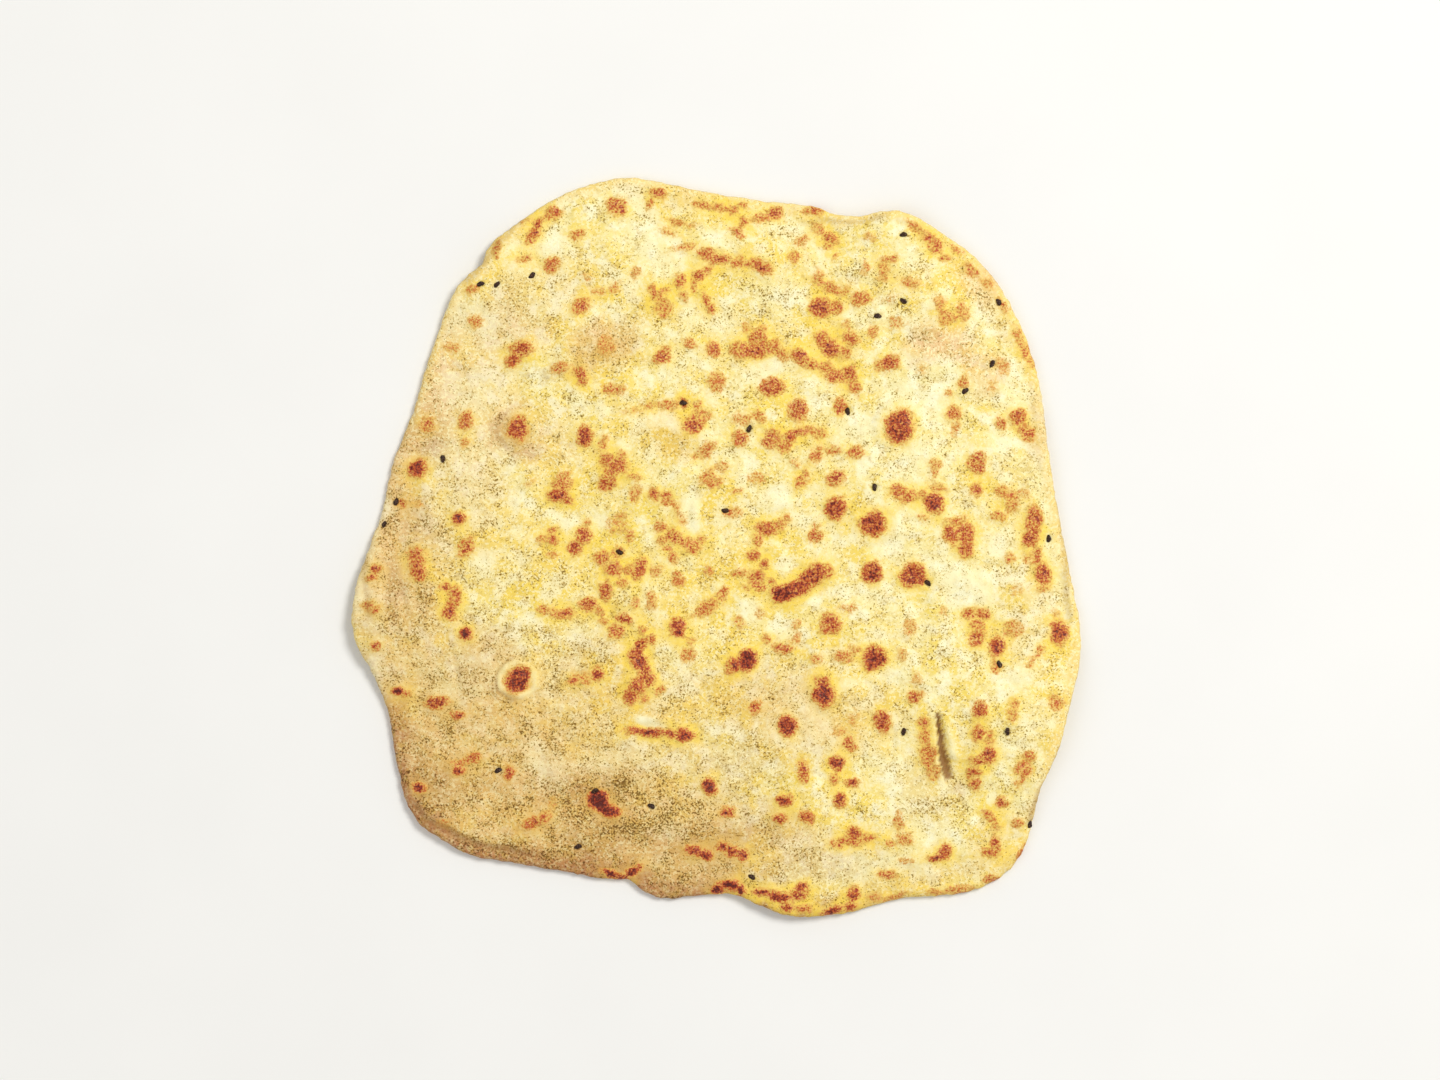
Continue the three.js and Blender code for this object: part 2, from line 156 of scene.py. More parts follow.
    (-45.8, 2.2, 2.6, 2.6, 0, .52), (-46.1, 4.6, 1.8, 1.4, 30, .56), (-46, -2, 3, 2.2, 0, .34),
    (-6.6, 34.2, 5, 4.8, 30, .64), (-4.2, 36.6, 5, 4, 20, .42), (-5.5, 39.6, 2.4, 3, 0, .46),
    (-9.4, 40.2, 2.6, 2.6, 0, .7), (-13.8, 39.8, 5, 2.4, 0, .42), (-18.8, 39.8, 4, 2, 5, .38),
    (-23.2, 38.2, 4, 1.3, 12, .24), (-2.6, 27.2, 6, 4, 50, .4), (-5.6, 25.3, 2.2, 1.6, 0, .34),
    (-1.6, 18.9, 6, 4.6, -20, .42), (1.6, 22.6, 3.4, 3, 0, .28), (4.4, 9.6, 5, 3.2, 0, .36),
    (-53, 18, 3, 2, 0, .18), (-32.3, -2.8, 3.8, 3.4, 0, .6), (-27.4, -1.4, 3.6, 2.8, 0, .5),
    (-29, -6, 5, 4.4, 0, .56), (-25, -6.3, 2.6, 2.6, 0, .38), (-26.4, -10, 3.4, 3, 0, .38),
    (-22, -6.4, 3.6, 5, -15, .64), (-20.5, -4.3, 2, 2, 0, .52), (-17, -6.4, 3.6, 3, 0, .36),
    (-12.3, -3, 2.8, 3.2, 0, .42), (-13.8, -0.5, 2.6, 1.6, 0, .4), (-10.8, -9, 5, 4, -35, .46),
    (-2.4, -7, 2.6, 2.6, 0, .36), (-31, -12.2, 3.4, 4.6, 0, .62), (-35.7, -16, 5, 3.8, 0, .6),
    (-32.4, -18.3, 2.2, 2.4, 0, .5), (-31.8, -21, 2.4, 1.7, 0, .42), (-47.8, -17.8, 4, 2, -5, .44),
    (-43.2, -18.9, 6, 2.4, -4, .52), (-41.6, -18.6, 2.2, 2, 0, .74), (-26, -20, 4.6, 2.8, -22, .64),
    (-23, -16, 2.4, 2.6, 0, .4), (-18.3, -15, 3, 4.8, 0, .42), (-28.4, -23.8, 3.8, 3.6, 0, .54),
    (-21, -23, 2.2, 2.6, 0, .44),
    # the long crooked spot and the band that joins it
    (-18.4, -26.2, 3, 3, 0, .48), (-21.2, -27.5, 4.6, 3.4, 35, .68), (-22.9, -30, 4, 4.2, 0, .66),
    (-21.7, -32.2, 4.6, 4, 0, .7), (-20.3, -34.6, 3.6, 4, 0, .66), (-19.7, -37, 5, 4.4, 0, .64),
    (-22.4, -39.2, 4.8, 3.8, 25, .64), (-24.2, -42, 3.6, 4.2, 0, .68), (-11, -22.7, 4.8, 5.2, 0, .68),
    (-10.6, -24.3, 3, 2.2, 0, .9), (-8, -30.3, 4.8, 4.4, 0, .42), (-7.3, -26, 3, 2.6, 0, .3),
    (-3, -17.3, 6.6, 3.8, 28, .52), (1.8, -13.4, 4.6, 3, 62, .44), (-8.2, -19.6, 3, 1.6, 30, .22),
    # lower left
    (-55.6, -37.3, 6.8, 8.2, -32, .84), (-89.5, -40.5, 3, 2.2, 0, .92), (-87.3, -41.3, 2.2, 1.7, 0, .52),
    (-78.3, -43.5, 6, 2.8, 10, .7), (-72.8, -47.2, 2.8, 1.9, -10, .86), (-68.2, -59.2, 4.2, 2.2, 20, .62),
    (-71.8, -60.6, 4, 2.2, 0, .5), (-72.2, -62.7, 3, 1.8, 0, .88), (-58.3, -63.4, 3.7, 3.4, 0, .64),
    (-83.6, -67.6, 3.6, 2.6, -45, .9), (-76.5, -77.6, 5, 2.2, -22, .3), (-52.6, -77.9, 4.4, 2.6, 10, .56),
    (-50.9, -77, 2.2, 2.6, 0, .66), (-48, -75.6, 4.2, 2.6, 38, .5), (-46, -72, 2.6, 3, 0, .34),
    (-33, -71.4, 6.4, 5.8, -40, 1.0), (-31.2, -73.4, 4.4, 3.8, -30, .98), (-28.8, -74.4, 4, 3.6, -40, .88),
    (-2, -67, 4, 4.2, 0, .88), (-33.3, -35.5, 2.8, 3.4, 0, .7), (-40.5, -37.5, 2.8, 2.4, 0, .66),
    (-37, -36.5, 7, 4, 0, .3), (-16, -40.3, 2.4, 2.2, 0, .42), (-20.4, -42.6, 2.2, 2, 0, .5),
    (-20, -51.7, 8, 1.7, -3, .8), (-13.6, -52.2, 8, 1.4, 0, .7), (-8.8, -52.6, 5, 2.9, -10, .9),
    (-6.6, -85.2, 4.6, 2.4, -10, .78), (-3.4, -86.2, 4, 2.4, -10, .92), (1.3, -84, 2.6, 2, 0, .84),
    (4.6, -85.3, 4.6, 2.8, -5, .74), (7.6, -86.2, 3.6, 3, -40, .72), (-29.8, -91.8, 4, 1.8, -15, .9),
    (-26.6, -93, 3.4, 1.6, 0, .8), (-23.6, -91.2, 4.4, 2.1, 32, 1.0),
    # middle right
    (33.2, 19.4, 5.4, 4.4, 20, .58), (24.8, 21, 1.8, 2.8, 0, .5), (23.8, 18.3, 3, 3.8, -25, .46),
    (21.6, 23.6, 3, 3, 0, .28), (11, 19, 5, 3.4, 0, .28), (6, 15.6, 2.2, 1.7, 0, .42),
    (33.4, 10.8, 5, 6.4, -25, .72), (27.9, 3.3, 3.3, 3.3, 0, .56), (28, 5.9, 2, 1.6, 0, .25),
    (14, 5.2, 5.6, 3.2, -12, .62), (18, 6.2, 3, 2.8, 0, .48), (19.8, 8, 2.2, 3, -20, .42),
    (11.8, 2, 2.2, 3.6, 0, .54), (10.7, -2.2, 3.2, 3.2, 0, .62), (13.7, -5, 2.2, 2.6, 0, .68),
    (11.3, -8.6, 4.8, 4.6, 0, .54), (6.3, -7.2, 3.2, 1.9, 0, .46), (12, -11.5, 2.6, 1.7, 0, .5),
    (8.8, -11.6, 3, 2, 0, .3), (15.7, -9.5, 1.8, 1.8, 0, .46), (18.2, -13.3, 6.6, 5, 8, .84),
    (20.8, -12.2, 5, 4.6, 20, .78), (23.2, -11.4, 5.6, 4.2, 32, .76), (25.6, -9.3, 5, 4.6, 30, .7),
    (27.6, -7.4, 5.8, 5.8, 0, .72), (30.8, -7.4, 3, 4, 0, .5), (31.8, -21.6, 6, 6.2, 0, .6),
    (37, -17, 5, 3, 0, .26), (22.3, -21.6, 2.8, 3, 0, .34), (22, -26, 2.2, 3.6, -15, .3),
    (13.8, -25.7, 2.8, 2.4, 0, .42), (12.5, -18.8, 3, 2.4, 0, .3), (6, -21.5, 3.4, 3.4, 0, .26),
    (18.3, -28.3, 4.8, 3, -15, .6), (8.6, -32, 5, 6, 0, .9), (5, -32.8, 2.4, 3.2, 0, .76),
    (3.8, -34, 3, 3, 0, .5), (28, -31.5, 3, 2.4, 0, .48), (35.5, -30.5, 4.6, 2.4, -10, .46),
    (38.6, -28.8, 3.2, 2, 0, .36), (44.2, -31.3, 6.6, 6.8, 0, .82), (43.6, -7.2, 5.6, 5.6, 0, .76),
    (43.6, 6.4, 8.2, 6.4, 8, .76), (44.6, 8.6, 4.4, 3.4, 0, .66), (50.6, 15.6, 4.4, 4, 0, .6),
    (53.6, 14.1, 5, 3.2, 0, .54), (57.2, 14.3, 3.2, 2.6, 0, .4), (60.8, 12.2, 5, 5.2, 0, .76),
    (61.6, 23.1, 3.2, 2.4, 20, .4), (60.6, 20.8, 1.8, 3, 0, .36), (61.4, 16.6, 5, 3.4, 0, .34),
    (73.2, 23.7, 5.4, 6.4, 0, .58), (72.8, 15.8, 2.8, 3.4, 0, .56), (65.6, 3.2, 4.6, 5.4, 0, .54),
    (69.6, 3.6, 5.4, 6, 0, .6), (69.8, -0.2, 5, 6, 0, .57), (67, 7.2, 6, 2.8, 0, .4),
    (57.5, 8.5, 3, 2.4, 0, .3), (79.6, 15.4, 4, 3.2, 0, .4), (82.6, 12.6, 4.6, 5.4, 0, .4),
    (79.2, 8.8, 4.2, 3, 0, .38), (86, 14.8, 4, 3, 0, .28), (89.2, 8, 4.2, 6.4, 0, .64),
    (88.6, 5.2, 4.4, 4.6, 0, .58), (87.8, 2.4, 4.8, 5.2, 0, .62), (90.2, -2.6, 2.4, 4.6, 18, .56),
    (87.4, -3.4, 4, 4, 0, .28), (91.8, -7.6, 4, 5, 0, .68), (92, -11.4, 4, 2.2, 0, .32),
    (82, -3, 2.6, 2.4, 0, .38), (55, -8, 6.8, 6.8, 0, .7), (57.2, -9.2, 3.6, 2.6, -20, .68),
    (84, -12, 5, 4, 0, .2), (83.3, -23, 5.2, 5.2, 0, .34), (71, -18.7, 3.6, 2.8, 0, .52),
    (74.8, -18.7, 3.8, 3, 0, .58), (73.3, -22, 4, 3, 0, .42), (73, -25.5, 4.2, 4.6, 0, .58),
    (78.7, -27.8, 3.8, 6, 8, .78), (78.2, -33.8, 3, 3, 0, .4), (96, -24.2, 4.6, 6.6, 5, .74),
    (95, -18.8, 2.2, 1.6, 0, .24), (54, -22.5, 4, 4.8, 0, .34), (63.5, -18, 3, 3, 0, .22),
    (52, -30, 3.4, 3.6, 0, .34), (90.6, -29.4, 2.2, 3, -25, .5), (88.2, -32, 3.6, 1.5, 48, .36),
    # lower right
    (11.2, -44.8, 3.4, 3.4, 0, .6), (19.8, -50, 5.4, 5.8, 20, .84), (30.2, -41.4, 6.4, 7.4, 10, .78),
    (29.4, -37.4, 3.6, 3, 0, .66), (46.3, -49, 4.8, 5.8, 15, .68), (56, -42, 3.8, 3, 10, .56),
    (56, -37, 3, 4, 0, .22), (58, -48.8, 3.2, 3, 0, .6), (58.6, -53.6, 3.6, 5, 0, .52),
    (59.4, -58.4, 4.2, 7, 0, .5), (60.6, -63, 3.4, 5, 0, .38), (37.5, -55, 3.4, 3.4, 0, .6),
    (34, -51.5, 4, 2.4, 0, .3), (38, -48, 3, 4, 0, .24), (34, -60.6, 3.6, 3.8, 0, .78),
    (33.2, -65, 1.9, 3.2, 0, .56), (38.4, -66.2, 3.4, 2.2, 0, .72), (34.6, -71, 2.8, 3.2, 0, .74),
    (24, -63, 3, 5.4, 10, .66), (19, -71, 4.2, 2.8, 0, .82), (2.8, -74.2, 4, 2.7, 0, .74),
    (17.8, -76, 3, 2.4, 0, .78), (25.4, -75.8, 3.8, 3, -15, .64), (38.3, -80.4, 3.6, 2.8, 0, .72),
    (37.4, -82.6, 5.6, 1.9, 0, .6), (42, -81.3, 4, 1.7, 0, .56), (33.8, -83, 3.2, 1.9, 0, .5),
    (51.2, -76.8, 2.8, 4.6, 10, .4), (52.6, -81.8, 4.4, 3.4, 0, .48), (49, -83, 2.2, 1.7, 0, .4),
    (64, -85.2, 3.8, 3.8, 0, .66), (61.8, -87.2, 4.6, 2.2, 0, .8), (73.6, -45, 3.8, 4.8, 0, .66),
    (73.3, -52, 2.8, 4.2, 0, .7), (76.5, -53.2, 2, 4.2, 0, .5), (76.4, -58, 3.6, 4.6, 0, .7),
    (73, -59.5, 4, 2.4, 0, .6), (72, -63, 3.6, 3, 0, .62), (72.4, -66.3, 2.6, 3.2, 0, .54),
    (82.7, -46.8, 2.8, 5, 0, .34), (83.3, -44, 1.6, 2.6, 0, .5), (95, -43.5, 4.6, 4.6, 0, .42),
    (87.2, -58.4, 3.6, 3.4, 0, .48), (85.6, -62.5, 3.8, 4.6, 0, .52), (84.5, -66, 2.8, 2.2, 0, .36),
    (79.9, -71.3, 3.2, 2.6, 0, .64), (76.5, -75.5, 3.8, 2.2, -38, .5), (78.3, -78, 1.8, 2.6, 0, .36),
    (84.2, -77.3, 2.6, 2.2, 0, .5), (78.3, -83.2, 2.6, 4, 10, .62), (76.8, -86, 4.6, 2.2, 0, .62),
    (85.6, -86.6, 2, 5, -28, .6), (77, -93.5, 3.2, 1.7, 15, .56), (67, -96.5, 7, 1.4, 8, .46),
    (61, -97, 3.2, 1.3, 0, .46), (48.2, -92.1, 3.8, 1.7, -15, .62), (53, -88, 3, 1.5, 0, .34),
    (38.7, -97.6, 3.6, 4, 0, .74), (37.3, -101, 3.8, 2.4, 0, .62), (31.8, -102.1, 4.8, 1.9, 14, .82),
    (50, -98.3, 5, 1.4, 18, .46), (44.4, -98.2, 3.2, 1.6, 0, .4), (0.4, -96.3, 3, 2.2, 0, .96),
    (3.6, -94.9, 4.6, 2.4, 5, 1.0), (6.8, -96.2, 2.6, 3, 0, 1.0), (12.5, -97, 3.8, 1.9, 0, .92),
    (17.5, -97.6, 6, 2.4, -4, .9), (22.5, -97.4, 4.6, 2.2, 10, .7), (24, -95.5, 2.4, 1.6, 30, .76),
    (20, -100.8, 2.6, 2.8, 0, .66), (24, -101.4, 4, 2.2, 0, .62),
)

# Broad tints of the top crust: x, y, length, width, turn in degrees, strength.
# Tan areas: tan dough, and on the lower left, left and bottom also painted shade for the side away from the
# light.
TAN_AND_SHADE_AREAS = (
    (-64, -60, 100, 70, -38, .8), (-26, -80, 100, 34, -6, .85), (-92, -8, 32, 76, 4, .6),
    (-72, 10, 34, 30, 0, .3), (-82, -62, 22, 26, 0, .5), (-32, -84, 34, 18, -6, .5),
    (18, -38, 44, 28, 10, .35), (20, 98, 120, 6, -4, .35), (72, 72, 50, 8, -48, .3),
    (80, -80, 34, 14, 40, .3), (62, -92, 50, 12, 6, .3), (92, 36, 8, 50, 10, .3), (-33, 55, 28, 16, 10, .7),
    (-56, 33, 17, 17, 0, .62), (10, -78, 50, 24, 0, .34), (-30, -34, 40, 34, 0, .34),
    (-12, 32, 20, 12, -30, .42), (-50, 70, 40, 26, 30, .3), (33, -84, 40, 16, 0, .3),
    (88, -20, 20, 40, 0, .22), (-57, -38, 20, 18, 0, .3), (-33, -70, 24, 18, 0, .5),
    (58, -64, 34, 36, 0, .06), (-82, -70, 34, 34, 0, .7), (-18, -92, 96, 20, -3, .6),
    (-14, -62, 56, 34, 0, .4), (-8, -42, 44, 20, 0, .3), (-88, 18, 18, 60, -14, .4),
    (20, -45, 36, 22, 0, .25), (32, -50, 20, 18, 0, .25), (46, -48, 22, 18, 0, .25),
    (80, 80, 22, 16, -45, .6), (24, -52, 36, 24, 0, .36), (-64, -32, 20, 16, 0, .3),
    (-80, 30, 18, 20, 0, .2), (80, 78, 24, 20, -45, .5), (94, 34, 10, 24, 0, .4),
)
PEACH_AREAS = (
    (-84, 44, 26, 62, -20, .75), (-92, 8, 16, 40, 4, .5), (63, 57, 28, 13, -18, .9),
    (74, 50, 14, 14, 0, .5), (-62, 62, 20, 30, -10, .35), (33, 71, 12, 8, 0, .4), (-56, 33, 16, 16, 0, .6),
    (-90, -10, 14, 24, 0, .4), (72, 70, 16, 12, -40, .5), (80, 74, 26, 14, -50, .6),
    (-30, 60, 26, 14, 10, .5), (-52, 60, 14, 12, 0, .4), (-68, 38, 36, 50, 0, .45),
    (-46, 30, 16, 20, 0, .4), (-92, 36, 16, 80, -22, .6), (-80, -6, 16, 40, 0, .3),
)
GOLD_AREAS = (
    (-22, 34, 30, 16, -20, .6), (-3, 42, 24, 14, 0, .45), (-56, 4, 34, 18, -15, .5),
    (-70, -6, 26, 16, 0, .32), (-6, -14, 44, 14, 35, .55), (-16, -47, 30, 14, 0, .6),
    (22, 80, 34, 16, -10, .5), (60, 70, 24, 22, -30, .42), (78, 12, 26, 34, 0, .42),
    (44, -30, 26, 22, 0, .34), (44, -97, 60, 14, 6, .5), (-2, 94, 60, 12, -5, .42),
    (-60, 82, 30, 12, 40, .4), (20, 56, 60, 22, -8, .5), (-34, 20, 40, 26, 15, .45),
    (-30, -10, 46, 30, -20, .42), (92, -50, 16, 44, -10, .45), (-22, -34, 14, 26, 0, .3),
    (30, 4, 60, 44, 0, .26), (-54, -6, 44, 26, -10, .4), (0, 4, 20, 40, 0, .5), (-32, 48, 30, 16, 0, .5),
    (-40, -40, 44, 30, 0, .35), (-30, -49, 22, 14, 0, .6), (-38, -58, 30, 16, -10, .5),
    (-54, -47, 26, 12, 0, .3), (38, -50, 26, 14, 0, .35), (80, 78, 22, 16, -45, .8),
    (80, -94, 18, 14, 0, .5), (32, -46, 40, 24, 0, .35), (0, -24, 26, 22, 0, .4), (-12, 70, 50, 22, 0, .4),
    (62, -58, 26, 28, 0, .34),
)
PALE_AREAS = (
    (0, 64, 22, 14, 0, .5), (16, 50, 20, 12, 0, .75), (-50, 82, 26, 16, 20, .5), (-6, 82, 34, 10, 0, .5),
    (80, 32, 18, 20, 0, .5), (32, 2, 18, 16, 0, .4), (30, 80, 16, 12, 0, .35), (48, 64, 12, 10, 0, .6),
    (-6, 9, 7, 13, 0, .8), (-16, 35.5, 20, 5, -18, .6), (-3, 43, 12, 4, 0, .5),
    (-16.8, -48.4, 14, 5.2, -3, 1), (17, 12.5, 12, 7, 0, .8), (8, -15, 10, 8, 0, .6),
    (70, -11, 22, 14, 0, .7), (84, -35, 12, 10, 0, .6), (82, 2, 9, 8, 0, .5), (39, -41, 9, 7, 0, .6),
    (-66, -4, 12, 8, 0, .5), (28, 16, 8, 6, 0, .5), (40, 32, 16, 10, 0, .5), (56, 40, 20, 14, 0, .4),
    (-62, 44, 34, 18, 0, .3), (26, -48, 18, 20, 0, .4), (-70, 64, 18, 20, 0, .35),
    (-70, -36, 26, 12, 0, .3), (52, -90, 40, 10, 0, .4), (62, 26, 30, 12, 0, .35),
    (-46, -62, 20, 14, 0, .5), (-30, -60, 18, 10, 0, .35), (50, -64, 22, 18, 0, .35),
    (-16, 78, 20, 10, 0, .3), (-14, -80, 14, 10, 0, .4), (-97, -24, 8, 50, 6, .4), (-97, 13, 7, 26, -6, .6),
    (-20, 86, 36, 10, 0, .3), (50, 2, 10, 18, 0, .4), (-38, 2, 9, 16, 0, .3), (30, -12, 46, 20, 0, .3),
)
OLIVE_AREAS = (
    (-26, -74, 60, 22, -5, .6), (-47, -55, 44, 12, 8, .15), (60, -60, 12, 34, -8, .28),
    (67.8, -67, 6, 11, 12, .7), (10, -98, 70, 8, 0, .4), (30, 70, 60, 30, 0, .22),
    (-40, -20, 60, 40, 0, .22), (-4, 62, 40, 16, 0, .3), (-95, 10, 12, 50, 0, .3), (48, 70, 16, 14, 0, .34),
    (-74, -12, 20, 26, 0, .3),
)

# Painted shade: the dough painted browner and duller in its dips, beside blisters and along the low rim on
# the lower left, with some browner dough among it.
SHADE_AREAS = (
    (-87, -71, 10, 26, 26, .55), (-68, -86.5, 30, 6, -14, .6), (-42, -91, 34, 5, -7, .6),
    (-28, -92.5, 16, 5, -8, .5), (-98.5, -28, 8, 26, -16, .25), (-93.5, -50, 6, 30, 8, .25),
    (-101, -14, 5, 26, 6, .2), (-34, -70, 22, 17, 0, .5), (-45, -66, 18, 20, 0, .25),
    (-12, -84, 44, 14, -6, .35), (-55.8, 31.6, 13, 14, 0, .5), (-46.6, 50, 5, 12, 0, .35),
    (-88, -12, 5, 22, 6, .5), (-82, -16, 8, 20, 0, .25), (-80, 26, 8, 18, 0, .3), (-83, 6, 12, 20, 0, .2),
    (-58.6, -40.8, 11, 5, -40, .45), (10, -80, 30, 12, 8, .35), (24, -90, 40, 9, 4, .3),
    (58, -70, 14, 22, 10, .16), (-90, -60, 8, 20, 8, .3), (5, -60, 26, 12, 10, .18),
    (-70, -30, 20, 26, 0, .18), (-82, -66, 22, 24, 0, .5), (-72, -65, 34, 14, 0, .3),
    (-80, 32, 16, 16, 0, .15), (22, -62, 30, 12, 0, .15), (0, -98, 16, 6, 0, .3),
    (-34, -82, 26, 14, 0, .45), (-50, -90, 34, 12, -10, .8), (-10, -97, 26, 8, 0, .3),
    (67.6, -66.8, 5, 9, 12, .45), (81, -95, 16, 8, 30, .3), (-80, -18, 10, 14, 0, .2),
    (-100, -4, 5, 18, 8, .12), (-86, 40, 6, 30, -16, .28), (92, -68, 3, 16, -14, .4),
    (-40, -32, 14, 20, 0, .16),
)

TINT_AREAS = {
    "tan": TAN_AND_SHADE_AREAS, "peach": PEACH_AREAS, "gold": GOLD_AREAS,
    "pale": PALE_AREAS, "olive": OLIVE_AREAS, "shade": SHADE_AREAS,
}

# Raised and sunken shapes of the top crust: x, y, length, width, turn in degrees, and height, which
# SWELL_SCALE turns into millimetres.
SWELLS = (
    (-6, 9, 4, 9, 0, .7), (-16.8, -48.5, 12, 4, -3, .9), (17, 12.5, 11, 6, 0, .6), (8, -15, 10, 8, 0, .5),
    (-10, 32, 26, 11, -20, .6), (70, -11, 22, 12, 0, .5), (84, -35, 11, 9, 0, .5), (39, -41, 8, 7, 0, .5),
    (82, 2, 8, 7, 0, .5), (52, 34, 22, 17, 0, .5), (19, 56, 30, 14, 0, .5), (-30, 22, 22, 16, 0, .6),
    (-43, 16, 12, 12, 0, .4), (24, -10, 30, 12, 24, .5), (30, -41, 16, 15, 0, .5), (-8, 72, 26, 12, 0, .5),
    (-54, 54, 14, 9, 0, .4), (-28, -12, 30, 20, 0, .5), (75, -60, 12, 22, 0, .5), (-50, -77, 20, 9, 10, .5),
    (64, 67, 18, 14, 0, .4), (89, 5, 12, 24, 0, .5), (-84, -4, 10, 14, 0, .5), (-78, -43, 14, 8, 8, .5),
    (56, -18, 10, 30, 8, -.5), (-33, -71, 15, 11, 0, -.6), (60, 57, 24, 9, -18, -.4),
    (-6, 24, 12, 8, 0, -.5), (-57, -20, 30, 12, 30, -.4), (2, -60, 40, 14, 10, -.4),
    (46, 62, 10, 8, 0, -.3), (-76, 16, 10, 24, 0, -.4), (-88, -15, 2.6, 17, 8, -.7),
    (-84.5, -13, 2, 13, 4, -.5), (-73, -36, 2.4, 16, 8, -.4), (90, -68, 3, 14, -18, -.8),
    (49, -58, 2.4, 20, -8, -.4), (30, -62, 2.4, 18, -6, -.3), (-40, -30, 2.4, 18, 4, -.3),
)

# Blisters with a low pale wall round them and a painted shadow line on the left of the wall: x, y, radius,
# strength.
RING_SPOTS = ((-55.6, -37.1, 4.9, .8), (44, 6.6, 5.4, .15), (51.2, 33.9, 6.2, .15), (-55.6, 32.9, 4.8, .3))
RING_WIDTH = 0.85
RING_HEIGHT = 0.9

# The crease in the top crust: the line of its sharp left edge, from its narrow end to its wide one.
CREASE_LINE = ((61.4, -45.0), (61.8, -51), (62.4, -57), (63.2, -62.4), (64.4, -68.2))
CREASE_START_WIDTH = 0.9
CREASE_END_WIDTH = 4.2
CREASE_DEPTH = 1.9

# Folds that run just inside the rim: the points of each, its width and its depth. Their depth also paints
# shade into the folds.
RIM_FOLDS = (
    (((-87, -69), (-82, -76.5), (-74, -80.8), (-62, -84.8), (-49, -87.2)), 1.2, .85),
    (((97, -54), (94, -63), (90, -72), (87.5, -79)), 1.1, .7),
    (((94.5, 22), (97.5, 8), (98.5, -8), (98.5, -24)), 1.5, .45),
    (((-72, 71), (-62, 85), (-52, 95.5)), 1.3, .45),
    (((22, 91.5), (36, 91), (50, 92.5)), 1.1, .4),
    (((-97, 6), (-99, -8), (-98, -22)), 1.1, .45),
    (((66, -99.5), (80, -97.5), (88, -91)), 1.0, .4),
)

# The rim is painted darker and browner on its lower left side, as painted shade on the side away from the
# key light: the direction of that side in degrees, the cosine of the angle from it at which the painted
# shade starts, and how far in it reaches.
SHADED_RIM_SIDE = 250
SHADED_RIM_SPREAD = 0.6
SHADED_RIM_WIDTH = 8.5

# Unevenness of each side: height in millimetres, width of one bump, and the seed of its noise.
TOP_WAVES = ((0.38, 17, 500), (0.26, 6.5, 510), (0.17, 2.6, 520))
UNDER_WAVES = ((0.34, 15, 600), (0.2, 5, 610), (0.08, 2.2, 620))
UNDER_LIFT = 0.45  # of the hollows below, before their waves
CREASE_LIP = 0.8
CRUMBS = 0.16

# What turns the heights of blisters and swells into millimetres.
TOP_BLISTER = 1.15
UNDER_BLISTER = 0.5
SWELL_SCALE = 1.35

# The underside's own toast and tints, drawn at random from seeds. A tint has its strength, the two
# noise values between which it grows, the width of one cloud, and the seed of its noise.
UNDER_SPOTS = 230
UNDER_SEED = 71
UNDER_TINTS = {
    "tan": (1.0, -0.5, 1.0, 42, 650), "gold": (1.0, -0.2, 0.9, 24, 660), "olive": (1.0, 0.2, 1.0, 18, 670),
    "shade": (0.4, 0.3, 1.2, 30, 680), "peach": (0.5, 0.2, 1.0, 26, 690),
}


# ---------- reading the CAD frame ----------

low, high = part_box("bread")
MIDDLE = np.array([(low.x + high.x) / 2, (low.y + high.y) / 2]) / MM
STRETCH = np.array([(high.x - low.x) / MM / DRAWN_WIDTH, (high.y - low.y) / MM / DRAWN_LENGTH])


def sheet_tree():
    """A search tree of the CAD bread, in millimetres."""
    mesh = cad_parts["bread"].data
    points = [vertex.co / MM for vertex in mesh.vertices]
    return BVHTree.FromPolygons(points, [tuple(face.vertices) for face in mesh.polygons])


SHEET = sheet_tree()
ABOVE = 100.0
INNER_RADIUS = 60.0
OUTER_RADIUS = 130.0
RADIUS_STEP = 0.01


def is_bread(x, y):
    return SHEET.ray_cast(Vector((x, y, ABOVE)), Vector((0, 0, -1)))[0] is not None


def outline_radii():
    """The bread's radius from its middle in every direction, found by halving."""
    radii = np.empty(OUTLINE_STEPS)
    for step in range(OUTLINE_STEPS):
        angle = 2 * math.pi * step / OUTLINE_STEPS
        inside = INNER_RADIUS
        outside = OUTER_RADIUS
        while outside - inside > RADIUS_STEP:
            middle = (inside + outside) / 2
            if is_bread(MIDDLE[0] + middle * math.cos(angle), MIDDLE[1] + middle * math.sin(angle)):
                inside = middle
            else:
                outside = middle
        radii[step] = inside
    return radii


RADII = outline_radii()


def edge_gap(x, y):
    """How far a point lies inside the outline, along the line to the middle."""
    angle = np.arctan2(y - MIDDLE[1], x - MIDDLE[0]) / (2 * math.pi) * OUTLINE_STEPS
    steps = np.arange(OUTLINE_STEPS + 1)
    around = np.append(RADII, RADII[0])
    return np.interp(angle % OUTLINE_STEPS, steps, around) - np.hypot(x - MIDDLE[0], y - MIDDLE[1])


def blurred(grid, weight, reach):
    """grid smoothed by a bell of that reach in cells, counting only cells that have weight."""
    steps = np.arange(-3 * reach, 3 * reach + 1)
    bell = np.exp(-0.5 * (steps / reach) ** 2)
    total = grid * weight
    share = weight.astype(float)
    for axis in (0, 1):
        total = np.apply_along_axis(np.convolve, axis, total, bell, "same")
        share = np.apply_along_axis(np.convolve, axis, share, bell, "same")
    return total / np.maximum(share, 1e-12), share


def filled_pits(grid, reach):
    """Lifts every pit narrower than about twice the reach: the seeds' sockets and the cut crease."""
    for pick in (np.maximum, np.minimum):
        for axis in (0, 1):
            moved = [np.roll(grid, step, axis) for step in range(-reach, reach + 1)]
            grid = pick.reduce(moved)
    return grid


